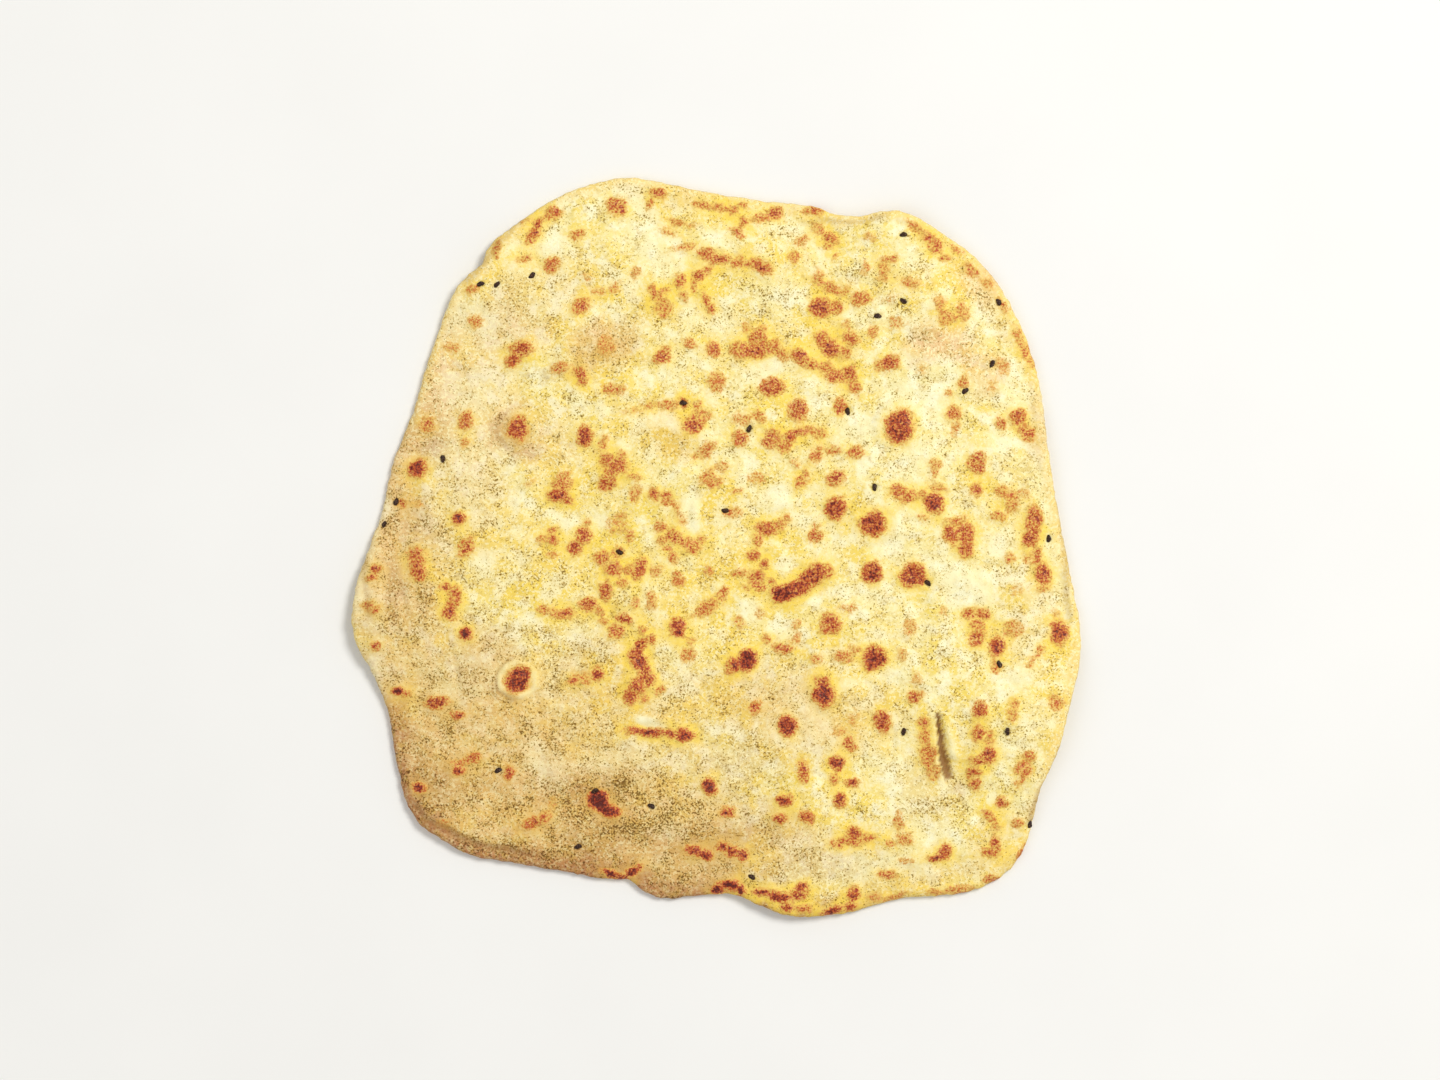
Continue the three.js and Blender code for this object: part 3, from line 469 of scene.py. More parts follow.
def height_grids():
    """Smooth heights of the CAD sheet's top and underside, carried on past its edge."""
    size = int(2 * RASTER_REACH / RASTER_PITCH)
    place = (np.arange(size) - size / 2) * RASTER_PITCH
    column, row = np.meshgrid(MIDDLE[0] + place, MIDDLE[1] + place)
    trusted = edge_gap(column, row) > RIM_TRUST
    top = np.zeros((size, size))
    under = np.zeros((size, size))
    for i, j in zip(*np.nonzero(trusted)):
        x = float(column[i, j])
        y = float(row[i, j])
        top[i, j] = SHEET.ray_cast(Vector((x, y, ABOVE)), Vector((0, 0, -1)))[0].z
        under[i, j] = SHEET.ray_cast(Vector((x, y, -ABOVE)), Vector((0, 0, 1)))[0].z
    carried = []
    for grid, has_pits in ((top, True), (under, False)):
        whole = np.where(trusted, grid, 0)
        known = trusted.copy()
        for reach in (1, 2, 4, 8):
            spread, share = blurred(grid, trusted, reach)
            fresh = ~known & (share > LEAST_SHARE)
            whole[fresh] = spread[fresh]
            known |= fresh
        if has_pits:
            whole = filled_pits(whole, 2)
        carried.append(blurred(whole, known, 1)[0])
    return place, *carried


PLACE, TOP_HEIGHTS, UNDER_HEIGHTS = height_grids()


def height_at(grid, x, y):
    """Height of the smooth sheet at points in millimetres."""
    u = np.clip((x - MIDDLE[0] - PLACE[0]) / RASTER_PITCH, 0, len(PLACE) - 1.001)
    v = np.clip((y - MIDDLE[1] - PLACE[0]) / RASTER_PITCH, 0, len(PLACE) - 1.001)
    i = u.astype(int)
    j = v.astype(int)
    fu = u - i
    fv = v - j
    near = grid[j, i] * (1 - fu) + grid[j, i + 1] * fu
    far = grid[j + 1, i] * (1 - fu) + grid[j + 1, i + 1] * fu
    return near * (1 - fv) + far * fv


# ---------- patterns ----------


def smooth_step(edge_0, edge_1, value):
    t = np.clip((value - edge_0) / (edge_1 - edge_0), 0, 1)
    return t * t * (3 - 2 * t)


NOISE_WRAP = 512


def noise(x, y, size, seed):
    """Smooth seeded noise from -1 to 1; size is the width of one bump in millimetres."""
    lattice = np.random.default_rng(seed).uniform(-1, 1, (NOISE_WRAP, NOISE_WRAP))
    u = x / size + 0.37 * seed
    v = y / size + 0.61 * seed
    column = np.floor(u).astype(int)
    row = np.floor(v).astype(int)
    fu = smooth_step(0, 1, u - column)
    fv = smooth_step(0, 1, v - row)

    def corner(right, up):
        return lattice[(row + up) % NOISE_WRAP, (column + right) % NOISE_WRAP]

    near = corner(0, 0) * (1 - fu) + corner(1, 0) * fu
    far = corner(0, 1) * (1 - fu) + corner(1, 1) * fu
    return near * (1 - fv) + far * fv


def layered_noise(x, y, size, seed, layers):
    total = np.zeros_like(x)
    for layer in range(layers):
        total += noise(x, y, size / 2 ** layer, seed + layer) / 2 ** layer
    return total


def ragged(x, y, amount, size, seed):
    """The points shifted a little at random, so that a round shape gets an uneven edge."""
    return (x + amount * layered_noise(x, y, size, seed, 2),
            y + amount * layered_noise(x, y, size, seed + 40, 2))


def oval_distance(x, y, oval):
    """1 on the edge of an oval given as x, y, length, width, turn; 0 at its middle."""
    turn = math.radians(oval[4])
    along = (x - oval[0]) * math.cos(turn) + (y - oval[1]) * math.sin(turn)
    across = (y - oval[1]) * math.cos(turn) - (x - oval[0]) * math.sin(turn)
    return np.hypot(along / (oval[2] / 2), across / (oval[3] / 2))


def area_strength(x, y, areas):
    """How strongly broad soft areas cover each point, from 0 to 1."""
    x, y = ragged(x, y, 3.2, 9, 300)
    clear = np.ones_like(x)
    for area in areas:
        clear *= 1 - area[5] * smooth_step(1.25, 0.35, oval_distance(x, y, area))
    return 1 - clear


# Millimetres from a spot's edge: where its heat ends outside, the fixed part of how far inside it is
# full, and where its glow ends outside.
SPOT_EDGE = 1.15
SPOT_CORE = 0.55
GLOW_REACH = 4.6
GLOW_STRENGTH = 0.68
LEAST_BLISTER = 0.12
BLISTER_BY_HEAT = 0.4


def toast_fields(x, y, spots, seed):
    """Heat of the toast, strength of its yellow glow and height of its blister, each from 0 to 1."""
    u, v = ragged(x, y, 0.55, 2.6, seed)
    heat = np.zeros_like(x)
    plain = np.ones_like(x)
    dome = np.zeros_like(x)
    for spot in spots:
        reach = max(spot[2], spot[3]) / 2 + GLOW_REACH
        near = np.nonzero((np.abs(x - spot[0]) < reach) & (np.abs(y - spot[1]) < reach))[0]
        distance = oval_distance(u[near], v[near], spot)
        radius = min(spot[2], spot[3]) / 2
        out = (distance - 1) * radius
        core = -min(SPOT_CORE + 0.26 * radius, 0.8 * radius)
        heat[near] = np.maximum(heat[near], spot[5] * smooth_step(SPOT_EDGE, core, out))
        plain[near] *= 1 - GLOW_STRENGTH * spot[5] * smooth_step(GLOW_REACH, -0.5, out)
        rise = (LEAST_BLISTER + BLISTER_BY_HEAT * spot[5]) * smooth_step(1.6, -0.8, out)
        dome[near] = np.maximum(dome[near], rise)
    return heat, 1 - plain, dome


def line_fields(x, y, points):
    """Distance to a line, distance with a sign from its nearest stretch, and the share along it, 0 to 1."""
    best = np.full_like(x, 1e9)
    side = np.zeros_like(x)
    along = np.zeros_like(x)
    count = len(points) - 1
    for index in range(count):
        ax, ay = points[index]
        bx, by = points[index + 1]
        length = math.hypot(bx - ax, by - ay)
        part = np.clip(((x - ax) * (bx - ax) + (y - ay) * (by - ay)) / length ** 2, 0, 1)
        away = np.hypot(x - ax - part * (bx - ax), y - ay - part * (by - ay))
        cross = ((bx - ax) * (y - ay) - (by - ay) * (x - ax)) / length
        closer = away < best
        best = np.where(closer, away, best)
        side = np.where(closer, cross, side)
        along = np.where(closer, (index + part) / count, along)
    return best, side, along


def crease_fields(x, y):
    """Depth of the crease, from 0 to 1, and height of its lips, from 0 to 1."""
    u, v = ragged(x, y, 0.22, 2.4, 410)
    _, side, along = line_fields(u, v, CREASE_LINE)
    open_part = smooth_step(0, 0.14, along) * smooth_step(0.94, 0.76, along)
    width = CREASE_START_WIDTH + (CREASE_END_WIDTH - CREASE_START_WIDTH) * along
    groove = smooth_step(-0.3, 0.25, side) * smooth_step(width, 0.3 * width, side) * open_part
    left_lip = smooth_step(-2.0, -0.9, side) * smooth_step(0.0, -0.4, side) * open_part
    right_lip = smooth_step(width, width + 0.8, side) * smooth_step(width + 3.2, width + 1.6, side)
    right_lip *= smooth_step(0.1, 0.3, along) * smooth_step(0.75, 0.55, along)
    return groove, np.maximum(left_lip, 0.8 * right_lip)


def fold_depth(x, y):
    """Depth in millimetres of the folds just inside the rim."""
    u, v = ragged(x, y, 0.8, 6, 430)
    depth = np.zeros_like(x)
    for points, width, deep in RIM_FOLDS:
        away, _, along = line_fields(u, v, points)
        ends = smooth_step(0, 0.12, along) * smooth_step(1, 0.88, along)
        depth = np.maximum(depth, deep * ends * smooth_step(width * 1.4, 0, away))
    return depth


def painted_rim_shade(x, y, gap):
    """Painted shade: the rim painted darker on its lower left side, away from the key light, from 0 to 1."""
    turn = math.radians(SHADED_RIM_SIDE)
    facing = (x * math.cos(turn) + y * math.sin(turn)) / np.maximum(np.hypot(x, y), 1)
    side = smooth_step(SHADED_RIM_SPREAD, SHADED_RIM_SPREAD + 0.22, facing)
    return side * smooth_step(SHADED_RIM_WIDTH, 0.8, gap + 1.6 * layered_noise(x, y, 7, 740, 2))


# ---------- relief ----------

SEED_BOXES = {name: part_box(name) for name in sorted(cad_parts) if name != "bread"}
SEED_PLACES = [(np.array(((a + b) / 2 / MM)[:2]) - MIDDLE) / STRETCH for a, b in SEED_BOXES.values()]


def seed_clear(x, y):
    """0 right beside a seed and 1 from a few millimetres away, so that no relief buries one."""
    clear = np.ones_like(x)
    for cx, cy in SEED_PLACES:
        clear *= 1 - smooth_step(3.2, 1.3, np.hypot(x - cx, y - cy))
    return clear


SEED_DENT = 0.25
SEED_LIP = 0.16
SEED_LIP_RADIUS = 1.75


def seed_dimple(x, y):
    """The small dent that a seed lies in, and the low lip round it, in millimetres."""
    shift = np.zeros_like(x)
    for cx, cy in SEED_PLACES:
        away = np.hypot(x - cx, y - cy)
        shift += SEED_LIP * smooth_step(0.8, 0.0, np.abs(away - SEED_LIP_RADIUS))
        shift -= SEED_DENT * smooth_step(1.3, 0.4, away)
    return shift


def ring_fields(x, y):
    """The low pale walls round the biggest blisters, and the painted shadow line left of each, from 0 to 1.
    """
    walls = np.zeros_like(x)
    ring_shadows = np.zeros_like(x)
    u, v = ragged(x, y, 0.5, 2.2, 440)
    for cx, cy, radius, strength in RING_SPOTS:
        away = np.hypot(u - cx, v - cy)
        wall = smooth_step(RING_WIDTH * 1.6, 0, np.abs(away - radius))
        # Painted shadow: a dark line outside the wall on its left side, away from the key light.
        line = smooth_step(0.6, 0, np.abs(away - radius - 1.3 * RING_WIDTH))
        line *= smooth_step(-0.1, 0.6, (cx - u) / np.maximum(away, 1))
        walls = np.maximum(walls, strength * wall)
        ring_shadows = np.maximum(ring_shadows, strength * line)
    return walls, ring_shadows


def top_relief(x, y, dome, gap):
    """Height in millimetres that the top crust's own shape adds to the smooth sheet."""
    relief = TOP_BLISTER * dome
    for swell in SWELLS:
        relief += SWELL_SCALE * swell[5] * smooth_step(1.15, 0.0, oval_distance(x, y, swell))
    relief += RING_HEIGHT * ring_fields(x, y)[0]
    for height, size, seed in TOP_WAVES:
        relief += height * layered_noise(x, y, size, seed, 2)
    groove, lip = crease_fields(x, y)
    relief += CREASE_LIP * lip - CREASE_DEPTH * groove
    relief -= fold_depth(x, y)
    relief *= seed_clear(x, y)
    relief += seed_dimple(x, y)
    crumbs = CRUMBS * layered_noise(x, y, 2.2, 530, 2) * smooth_step(0.0, 0.8, gap)
    return relief * smooth_step(0.2, 3.0, gap) + crumbs


def under_relief(x, y, dome, gap):
    """The underside lifts off the plate in shallow hollows, and never goes below the CAD sheet."""
    relief = UNDER_LIFT - UNDER_BLISTER * dome
    for height, size, seed in UNDER_WAVES:
        relief += height * layered_noise(x, y, size, seed, 2)
    return np.maximum(relief, 0) * smooth_step(0.4, 4.0, gap)


def under_spots():
    """Toast spots of the underside, which touched the hot plate."""
    draw = np.random.default_rng(UNDER_SEED)
    spots = []
    while len(spots) < UNDER_SPOTS:
        x, y = draw.uniform(-100, 100, 2)
        size = 2.2 + 5.5 * draw.random() ** 2.2
        shape = draw.uniform(0.6, 1.0)
        heat = draw.uniform(0.3, 0.62) + 0.035 * size
        turn = draw.uniform(0, 180)
        place = np.array([x]), np.array([y])
        share = 0.55 + 0.45 * noise(*place, 38, 640)[0]
        if edge_gap(*place)[0] > 3 and draw.random() < share:
            spots.append((x, y, size, size * shape, turn, heat))
    return spots


# ---------- the bread's mesh ----------


def outline_points():
    """Points at equal steps round the rim, from the lower right corner on, with their outward directions."""
    angles = 2 * math.pi * np.arange(OUTLINE_STEPS) / OUTLINE_STEPS - math.pi / 4
    radii = np.roll(RADII, OUTLINE_STEPS // 8)
    x = MIDDLE[0] + radii * np.cos(angles)
    y = MIDDLE[1] + radii * np.sin(angles)
    x = np.append(x, x[0])
    y = np.append(y, y[0])
    walked = np.append(0, np.cumsum(np.hypot(np.diff(x), np.diff(y))))
    count = 4 * TOP_CELLS
    wanted = walked[-1] * np.arange(count) / count
    points = np.stack([np.interp(wanted, walked, x), np.interp(wanted, walked, y)], 1)
    run = np.roll(points, -3, 0) - np.roll(points, 3, 0)
    outward = np.stack([run[:, 1], -run[:, 0]], 1)
    for _ in range(12):
        outward = (np.roll(outward, 1, 0) + outward + np.roll(outward, -1, 0)) / 3
    outward /= np.linalg.norm(outward, axis=1)[:, None]
    jitter = RIM_JITTER * layered_noise(points[:, 0], points[:, 1], 3.4, 700, 3)
    points -= outward * np.abs(jitter)[:, None]
    return points, outward


RIM_POINTS, RIM_OUTWARD = outline_points()


def square_grid(cells, inset):
    """A square grid bent to the outline: ring k of the square becomes the rim shrunk by k."""
    half = cells // 2
    b, a = np.meshgrid(np.arange(-half, half + 1), np.arange(-half, half + 1), indexing="ij")
    ring = np.maximum(np.abs(a), np.abs(b))
    step = np.select(
        [(a == ring) & (b < ring), (b == ring) & (a > -ring), (a == -ring) & (b > -ring)],
        [b + ring, 3 * ring - a, 5 * ring - b],
        7 * ring + a,
    )
    count = len(RIM_POINTS)
    place = np.where(ring > 0, step / np.maximum(8 * ring, 1), 0) * count
    base = np.floor(place).astype(int)
    part = (place - base)[..., None]
    rim = RIM_POINTS - inset * RIM_OUTWARD
    rim = rim[base % count] * (1 - part) + rim[(base + 1) % count] * part
    return MIDDLE + (rim - MIDDLE) * (ring / half)[..., None]


def grid_rim(cells):
    """Grid index of each point of the outermost ring, in the order of the rim."""
    half = cells // 2
    width = cells + 1
    line = np.arange(cells)
    right = line * width + cells
    top = cells * width + (cells - line)
    left = (cells - line) * width
    bottom = line
    return np.concatenate([right, top, left, bottom])


def rim_profile(inset):
    """Share of the half thickness that is left at that distance from the edge."""
    part = min(inset / RIM_ROUND, 1)
    return math.sqrt(1 - (1 - part) ** 2)


class Crust:
    """Collects the points, faces and map places of the bread's one closed mesh."""

    def __init__(self):
        self.points = []
        self.flat = []
        self.faces = []
        self.charts = []
        self.count = 0

    def add_points(self, points, flat):
        first = self.count
        self.points.append(points)
        self.flat.append(flat)
        self.count += len(points)
        return first + np.arange(len(points))

    def add_faces(self, faces, chart):
        self.faces.append(faces)
        self.charts += [chart] * len(faces)


def grid_faces(index, upward):
    a = index[:-1, :-1]
    b = index[:-1, 1:]
    c = index[1:, 1:]
    d = index[1:, :-1]
    order = (a, b, c, d) if upward else (a, d, c, b)
    return np.stack(order, -1).reshape(-1, 4)


def band_faces(outer, inner, upward):
    outer_next = np.roll(outer, -1)
    inner_next = np.roll(inner, -1)
    order = (inner, outer, outer_next, inner_next) if upward else (inner, inner_next, outer_next, outer)
    return np.stack(order, -1)


def sheet_middle(x, y):
    top = height_at(TOP_HEIGHTS, x, y)
    under = height_at(UNDER_HEIGHTS, x, y)
    return (top + under) / 2, (top - under) / 2


def rim_ring(inset, upward, stride):
    """One ring of the rounded rim."""
    edge = RIM_POINTS[::stride]
    outward = RIM_OUTWARD[::stride]
    spot = edge - inset * outward
    trusted = edge - RIM_TRUST * outward
    middle, half = sheet_middle(trusted[:, 0], trusted[:, 1])
    near_middle, near_half = sheet_middle(spot[:, 0], spot[:, 1])
    blend = inset / RIM_TRUST
    middle = middle * (1 - blend) + near_middle * blend
    half = half * (1 - blend) + near_half * blend
    half = half * (1 + 0.16 * layered_noise(edge[:, 0], edge[:, 1], 11, 720, 2))
    share = rim_profile(inset)
    z = middle + half * share if upward else middle - half * share
    return spot, z


def add_side(crust, upward, cells, insets, grid):
    """One side of the sheet with its share of the rim; gives the indices of the last ring."""
    inset = insets[0]
    stride = TOP_CELLS // cells
    chart = "top" if upward else "under"
    spots = square_grid(cells, inset).reshape(-1, 2)
    index = crust.add_points(np.column_stack([spots, height_at(grid, *spots.T)]), spots)
    crust.add_faces(grid_faces(index.reshape(cells + 1, cells + 1), upward), chart)
    inner = index[grid_rim(cells)]
    walked = 0.0
    for before, after in zip(insets, insets[1:]):
        spot, z = rim_ring(after, upward, stride)
        sink = RIM_HALF_HEIGHT * (rim_profile(before) - rim_profile(after))
        walked += math.hypot(before - after, sink)
        flat = RIM_POINTS[::stride] + (walked - inset) * RIM_OUTWARD[::stride]
        ring = crust.add_points(np.column_stack([spot, z]), flat)
        crust.add_faces(band_faces(ring, inner, upward), chart)
        inner = ring
    return inner


def crust_layout():
    """Points and faces of the whole crust, with z still smooth."""
    crust = Crust()
    rim = add_side(crust, True, TOP_CELLS, TOP_RIM_INSETS, TOP_HEIGHTS)
    last = add_side(crust, False, UNDER_CELLS, UNDER_RIM_INSETS, UNDER_HEIGHTS)
    seam = []
    count = len(last)
    for step in range(count):
        a = rim[2 * step]
        b = rim[2 * step + 1]
        c = rim[(2 * step + 2) % len(rim)]
        d = last[(step + 1) % count]
        e = last[step]
        seam += [(a, e, b), (b, e, d), (b, d, c)]
    return crust, seam


def top_fields(x, y):
    """What the material reads on the top crust beside the toast and the rim."""
    groove, lip = crease_fields(x, y)
    walls, ring_shadows = ring_fields(x, y)
    folds = np.clip(fold_depth(x, y), 0, 1)
    # Painted shade in the rim folds, and painted shadow lines beside the ring walls.
    painted_shade_lines = np.maximum(0.75 * folds, 0.5 * ring_shadows)
    fields = {name: area_strength(x, y, areas) for name, areas in TINT_AREAS.items()}
    # The crease field is painted shade: the crease groove, the rim folds and the shadow lines beside the
    # ring walls painted dark.
    fields["crease"] = np.maximum(smooth_step(0.05, 0.5, groove), painted_shade_lines)
    fields["lip"] = np.maximum(lip, walls)
    return fields


def under_fields(x, y, relief):
    """What the material reads on the underside beside the toast and the rim."""
    fields = {"pale": smooth_step(0.35, 1.0, relief)}
    for name, (strength, start, end, size, seed) in UNDER_TINTS.items():
        fields[name] = strength * smooth_step(start, end, layered_noise(x, y, size, seed, 2))
    return fields


def relief_and_fields(points, upward):
    """The relief to add to each point, and the values that the material reads there."""
    x, y = ((points[:, :2] - MIDDLE) / STRETCH).T
    gap = edge_gap(points[:, 0], points[:, 1])
    spots = SPOTS if upward else under_spots()
    heat, glow, dome = toast_fields(x, y, spots, 200 if upward else 240)
    rim = smooth_step(4.6, 0.8, gap + 1.2 * noise(x, y, 9, 730))
    # The brown field is painted shade: the lower left rim painted darker, away from the key light.
    fields = {"toast": heat, "glow": glow, "rim": rim, "brown": painted_rim_shade(x, y, gap)}
    if upward:
        relief = top_relief(x, y, dome, gap)
        fields |= top_fields(x, y)
    else:
        relief = under_relief(x, y, dome, gap)
        fields |= under_fields(x, y, relief)
    return relief, fields


# Shares of the OFBake map: its border, the top crust's square, the underside's scale, and where the
# underside's halves begin.
MAP_GAP = 0.005
MAP_TOP = 0.70
MAP_UNDER = 0.56
MAP_BESIDE = 0.715


def map_places(flat, charts, faces):
    """Places on the OFBake map: the top crust in one big square, and the underside's halves beside it."""
    reach = 1.06 * max(RADII.max(), DRAWN_LENGTH / 2)
    places = []
    for chart, face in zip(charts, faces):
        corners = (flat[list(face)] - MIDDLE) / (2 * reach) + 0.5
        if chart == "top":
            places.append(MAP_GAP + corners * MAP_TOP)
        elif corners[:, 0].mean() < 0.5:
            places.append(np.array([MAP_BESIDE, MAP_GAP]) + corners * MAP_UNDER)
        else:
            turned = np.column_stack([corners[:, 1], corners[:, 0] - 0.5])
            places.append(np.array([MAP_GAP, MAP_BESIDE]) + turned * MAP_UNDER)
    return np.concatenate(places)


def add_object(name, points, faces):
    mesh = bpy.data.meshes.new(name)
    mesh.from_pydata(points, [], faces)
    piece = bpy.data.objects.new(name, mesh)
    bpy.context.scene.collection.objects.link(piece)
    return piece


def build_crust():
    """The whole bread: smooth sheet, relief, the values that its material reads, and its map."""
    crust, seam = crust_layout()
    points = np.concatenate(crust.points)
    flat = np.concatenate(crust.flat)
    faces = np.concatenate(crust.faces)
    is_top = np.zeros(len(points), bool)
    top_faces = np.array([chart == "top" for chart in crust.charts])
    is_top[np.unique(faces[top_faces])] = True
    values = {}
    for upward in (True, False):
        here = is_top if upward else ~is_top
        relief, fields = relief_and_fields(points[here], upward)
        points[here, 2] += relief
        for name, field in fields.items():
            values.setdefault(name, np.zeros(len(points)))[here] = field
    lowest = low.z / MM
    points[:, 2] = np.maximum(points[:, 2], lowest)
    every_face = [tuple(face) for face in faces.tolist()] + [tuple(int(i) for i in face) for face in seam]
    charts = crust.charts + ["under"] * len(seam)
    piece = add_object("pita_crust", (points * MM).tolist(), every_face)
    mesh = piece.data
    mesh.polygons.foreach_set("use_smooth", [True] * len(every_face))
    for name, value in values.items():
        mesh.attributes.new(name, "FLOAT", "POINT").data.foreach_set("value", value)
    baked = mesh.uv_layers.new(name="OFBake")
    baked.data.foreach_set("uv", map_places(flat, charts, every_face).ravel())
    return piece


# ---------- materials ----------

# Colours of the dough, from 0 to 255 on the usual screen scale.
CREAM = (247, 234, 168)
BUTTER = (245, 219, 106)
PALE = (254, 251, 214)
GOLD = (247, 211, 80)
# Tan dough, also used as painted shade on the lower left.
TAN_AND_SHADE = (226, 180, 104)
PEACH = (234, 190, 132)
LIP = (252, 242, 186)
RIM_COLOUR = (245, 214, 128)
# Painted shade: the colour of the darker lower left rim.
SHADED_RIM_COLOUR = (178, 118, 74)
# Painted shade: the colour of the dips and the low rim, partly browner dough.
SHADE = (178, 130, 74)
OLIVE = (206, 170, 82)
FLOUR = (255, 244, 190)
GLOW = (249, 215, 80)
STAIN = (232, 184, 92)
TOAST_FLECK = (236, 166, 104)
# Painted shade: the colour of the crease groove, the rim folds and the ring walls' shadow lines.
CREASE_SHADE_COLOUR = (150, 106, 60)
SEED_BLACK = (30, 15, 10)
SEED_BROWN = (66, 36, 22)
# Painted highlight: the colour of the seeds' glints.
SEED_GLINT = (182, 142, 104)
PAPER = (238, 238, 236)
LIGHT_PAPER = (244, 244, 242)
TOAST_COLOURS = (
    (0.0, (233, 197, 102)), (0.28, (227, 178, 84)), (0.46, (213, 135, 54)),
    (0.64, (194, 88, 36)), (0.8, (152, 52, 26)), (0.98, (90, 22, 12)),
)
# How much a light and a dark grain leave of the dough's colour, where 255 leaves all.
GRAIN_TINT = (208, 194, 152)
DARK_GRAIN_TINT = (168, 154, 112)

# How much thicker (or, below 0, thinner) the dark grain lies in each kind of place.
GRAIN_WEIGHTS = {
    "olive": 0.45, "tan": 0.22, "glow": -0.3, "rim": -0.2, "brown": 0.22, "pale": -0.3, "lip": -0.7,
}

# Where there is less flour: the field, the two values between which flour thins, its most and its least.
FLOUR_LIMITS = (("tan", 0.0, 0.8, 0.75, 0.4), ("glow", 0.1, 0.6, 1.0, 0.25), ("brown", 0.1, 0.8, 1.0, 0.7))


def paint(red, green, blue):
    """A colour given from 0 to 255 on the usual screen scale, as the shader wants it."""
    shares = [value / 255 for value in (red, green, blue)]
    return tuple(s / 12.92 if s <= 0.04045 else ((s + 0.055) / 1.055) ** 2.4 for s in shares) + (1.0,)


class Graph:
    """Short names for the shader nodes that the materials use."""

    def __init__(self, name):
        self.material = bpy.data.materials.new(name)
        self.material.use_nodes = True
        self.nodes = self.material.node_tree.nodes
        self.links = self.material.node_tree.links
        self.nodes.clear()
        self.output = self.nodes.new("ShaderNodeOutputMaterial")
        self.shader = self.nodes.new("ShaderNodeBsdfPrincipled")
        self.links.new(self.shader.outputs[0], self.output.inputs[0])
        self.place = self.nodes.new("ShaderNodeTexCoord").outputs["Object"]

    def put(self, socket, value):
        """Sets a socket from another node, a number, or a colour given from 0 to 255."""
        if isinstance(value, bpy.types.NodeSocket):
            self.links.new(value, socket)
        elif isinstance(value, tuple):
            socket.default_value = paint(*value)
        else:
            socket.default_value = value

    def field(self, name):
        node = self.nodes.new("ShaderNodeAttribute")
        node.attribute_name = name
        return node.outputs["Fac"]

    def pattern(self, kind, size, shift=0.0):
        """A solid texture scaled so that one of its features is size millimetres wide."""
        mapping = self.nodes.new("ShaderNodeMapping")
        mapping.inputs["Location"].default_value = (shift, shift * 0.7, shift * 0.3)
        mapping.inputs["Scale"].default_value = [1 / (size * MM)] * 3
        self.links.new(self.place, mapping.inputs["Vector"])
        node = self.nodes.new(kind)
        node.inputs["Scale"].default_value = 1.0
        self.links.new(mapping.outputs[0], node.inputs["Vector"])
        return node

    def noise(self, size, detail, roughness, shift=0.0):
        """Cloudy noise, about 0 to 1."""
        node = self.pattern("ShaderNodeTexNoise", size, shift)
        node.inputs["Detail"].default_value = detail
        node.inputs["Roughness"].default_value = roughness
        return node.outputs["Fac"]

    def cells(self, size):
        """Distance to the nearest point of a scattered set."""
        return self.pattern("ShaderNodeTexVoronoi", size).outputs["Distance"]

    def calculate(self, kind, first, second):
        node = self.nodes.new("ShaderNodeMath")
        node.operation = kind
        self.put(node.inputs[0], first)
        self.put(node.inputs[1], second)
        return node.outputs[0]

    def times(self, first, second):
        return self.calculate("MULTIPLY", first, second)

    def plus(self, first, second):
        return self.calculate("ADD", first, second)

    def minus(self, first, second):
        return self.calculate("SUBTRACT", first, second)

    def step(self, value, start, end, low=0.0, high=1.0):
        """Runs smoothly from low to high while value goes from start to end."""
        node = self.nodes.new("ShaderNodeMapRange")
        node.interpolation_type = "SMOOTHSTEP"
        self.put(node.inputs["Value"], value)
        if start > end:
            start, end, low, high = end, start, high, low
        node.inputs["From Min"].default_value = start
        node.inputs["From Max"].default_value = end
        node.inputs["To Min"].default_value = low
        node.inputs["To Max"].default_value = high
        return node.outputs[0]

    def mix(self, share, first, second, kind="MIX"):
        """A colour between first and second; with MULTIPLY, first tinted by second."""
        node = self.nodes.new("ShaderNodeMix")
        node.data_type = "RGBA"
        node.blend_type = kind
        self.put(node.inputs[0], share)
        self.put(node.inputs[6], first)
        self.put(node.inputs[7], second)
        return node.outputs[2]

    def blend(self, share, first, second):
        """A number between first and second."""
        node = self.nodes.new("ShaderNodeMix")
        node.data_type = "FLOAT"
        self.put(node.inputs[0], share)
        self.put(node.inputs[2], first)
        self.put(node.inputs[3], second)
        return node.outputs[0]

    def ramp(self, value, stops):
        node = self.nodes.new("ShaderNodeValToRGB")
        node.color_ramp.interpolation = "EASE"
        points = node.color_ramp.elements
        while len(points) < len(stops):
            points.new(1.0)
        for point, (position, colour) in zip(points, stops):
            point.position = position
            point.color = paint(*colour)
        self.put(node.inputs[0], value)
        return node.outputs[0]

    def bump(self, height, distance, strength, under=None):
        """Small unevenness in the shading, of that height in millimetres, on top of another bump."""
        node = self.nodes.new("ShaderNodeBump")
        node.inputs["Distance"].default_value = distance * MM
        node.inputs["Strength"].default_value = strength
        self.put(node.inputs["Height"], height)
        if under is not None:
            self.links.new(under, node.inputs["Normal"])
        return node.outputs[0]


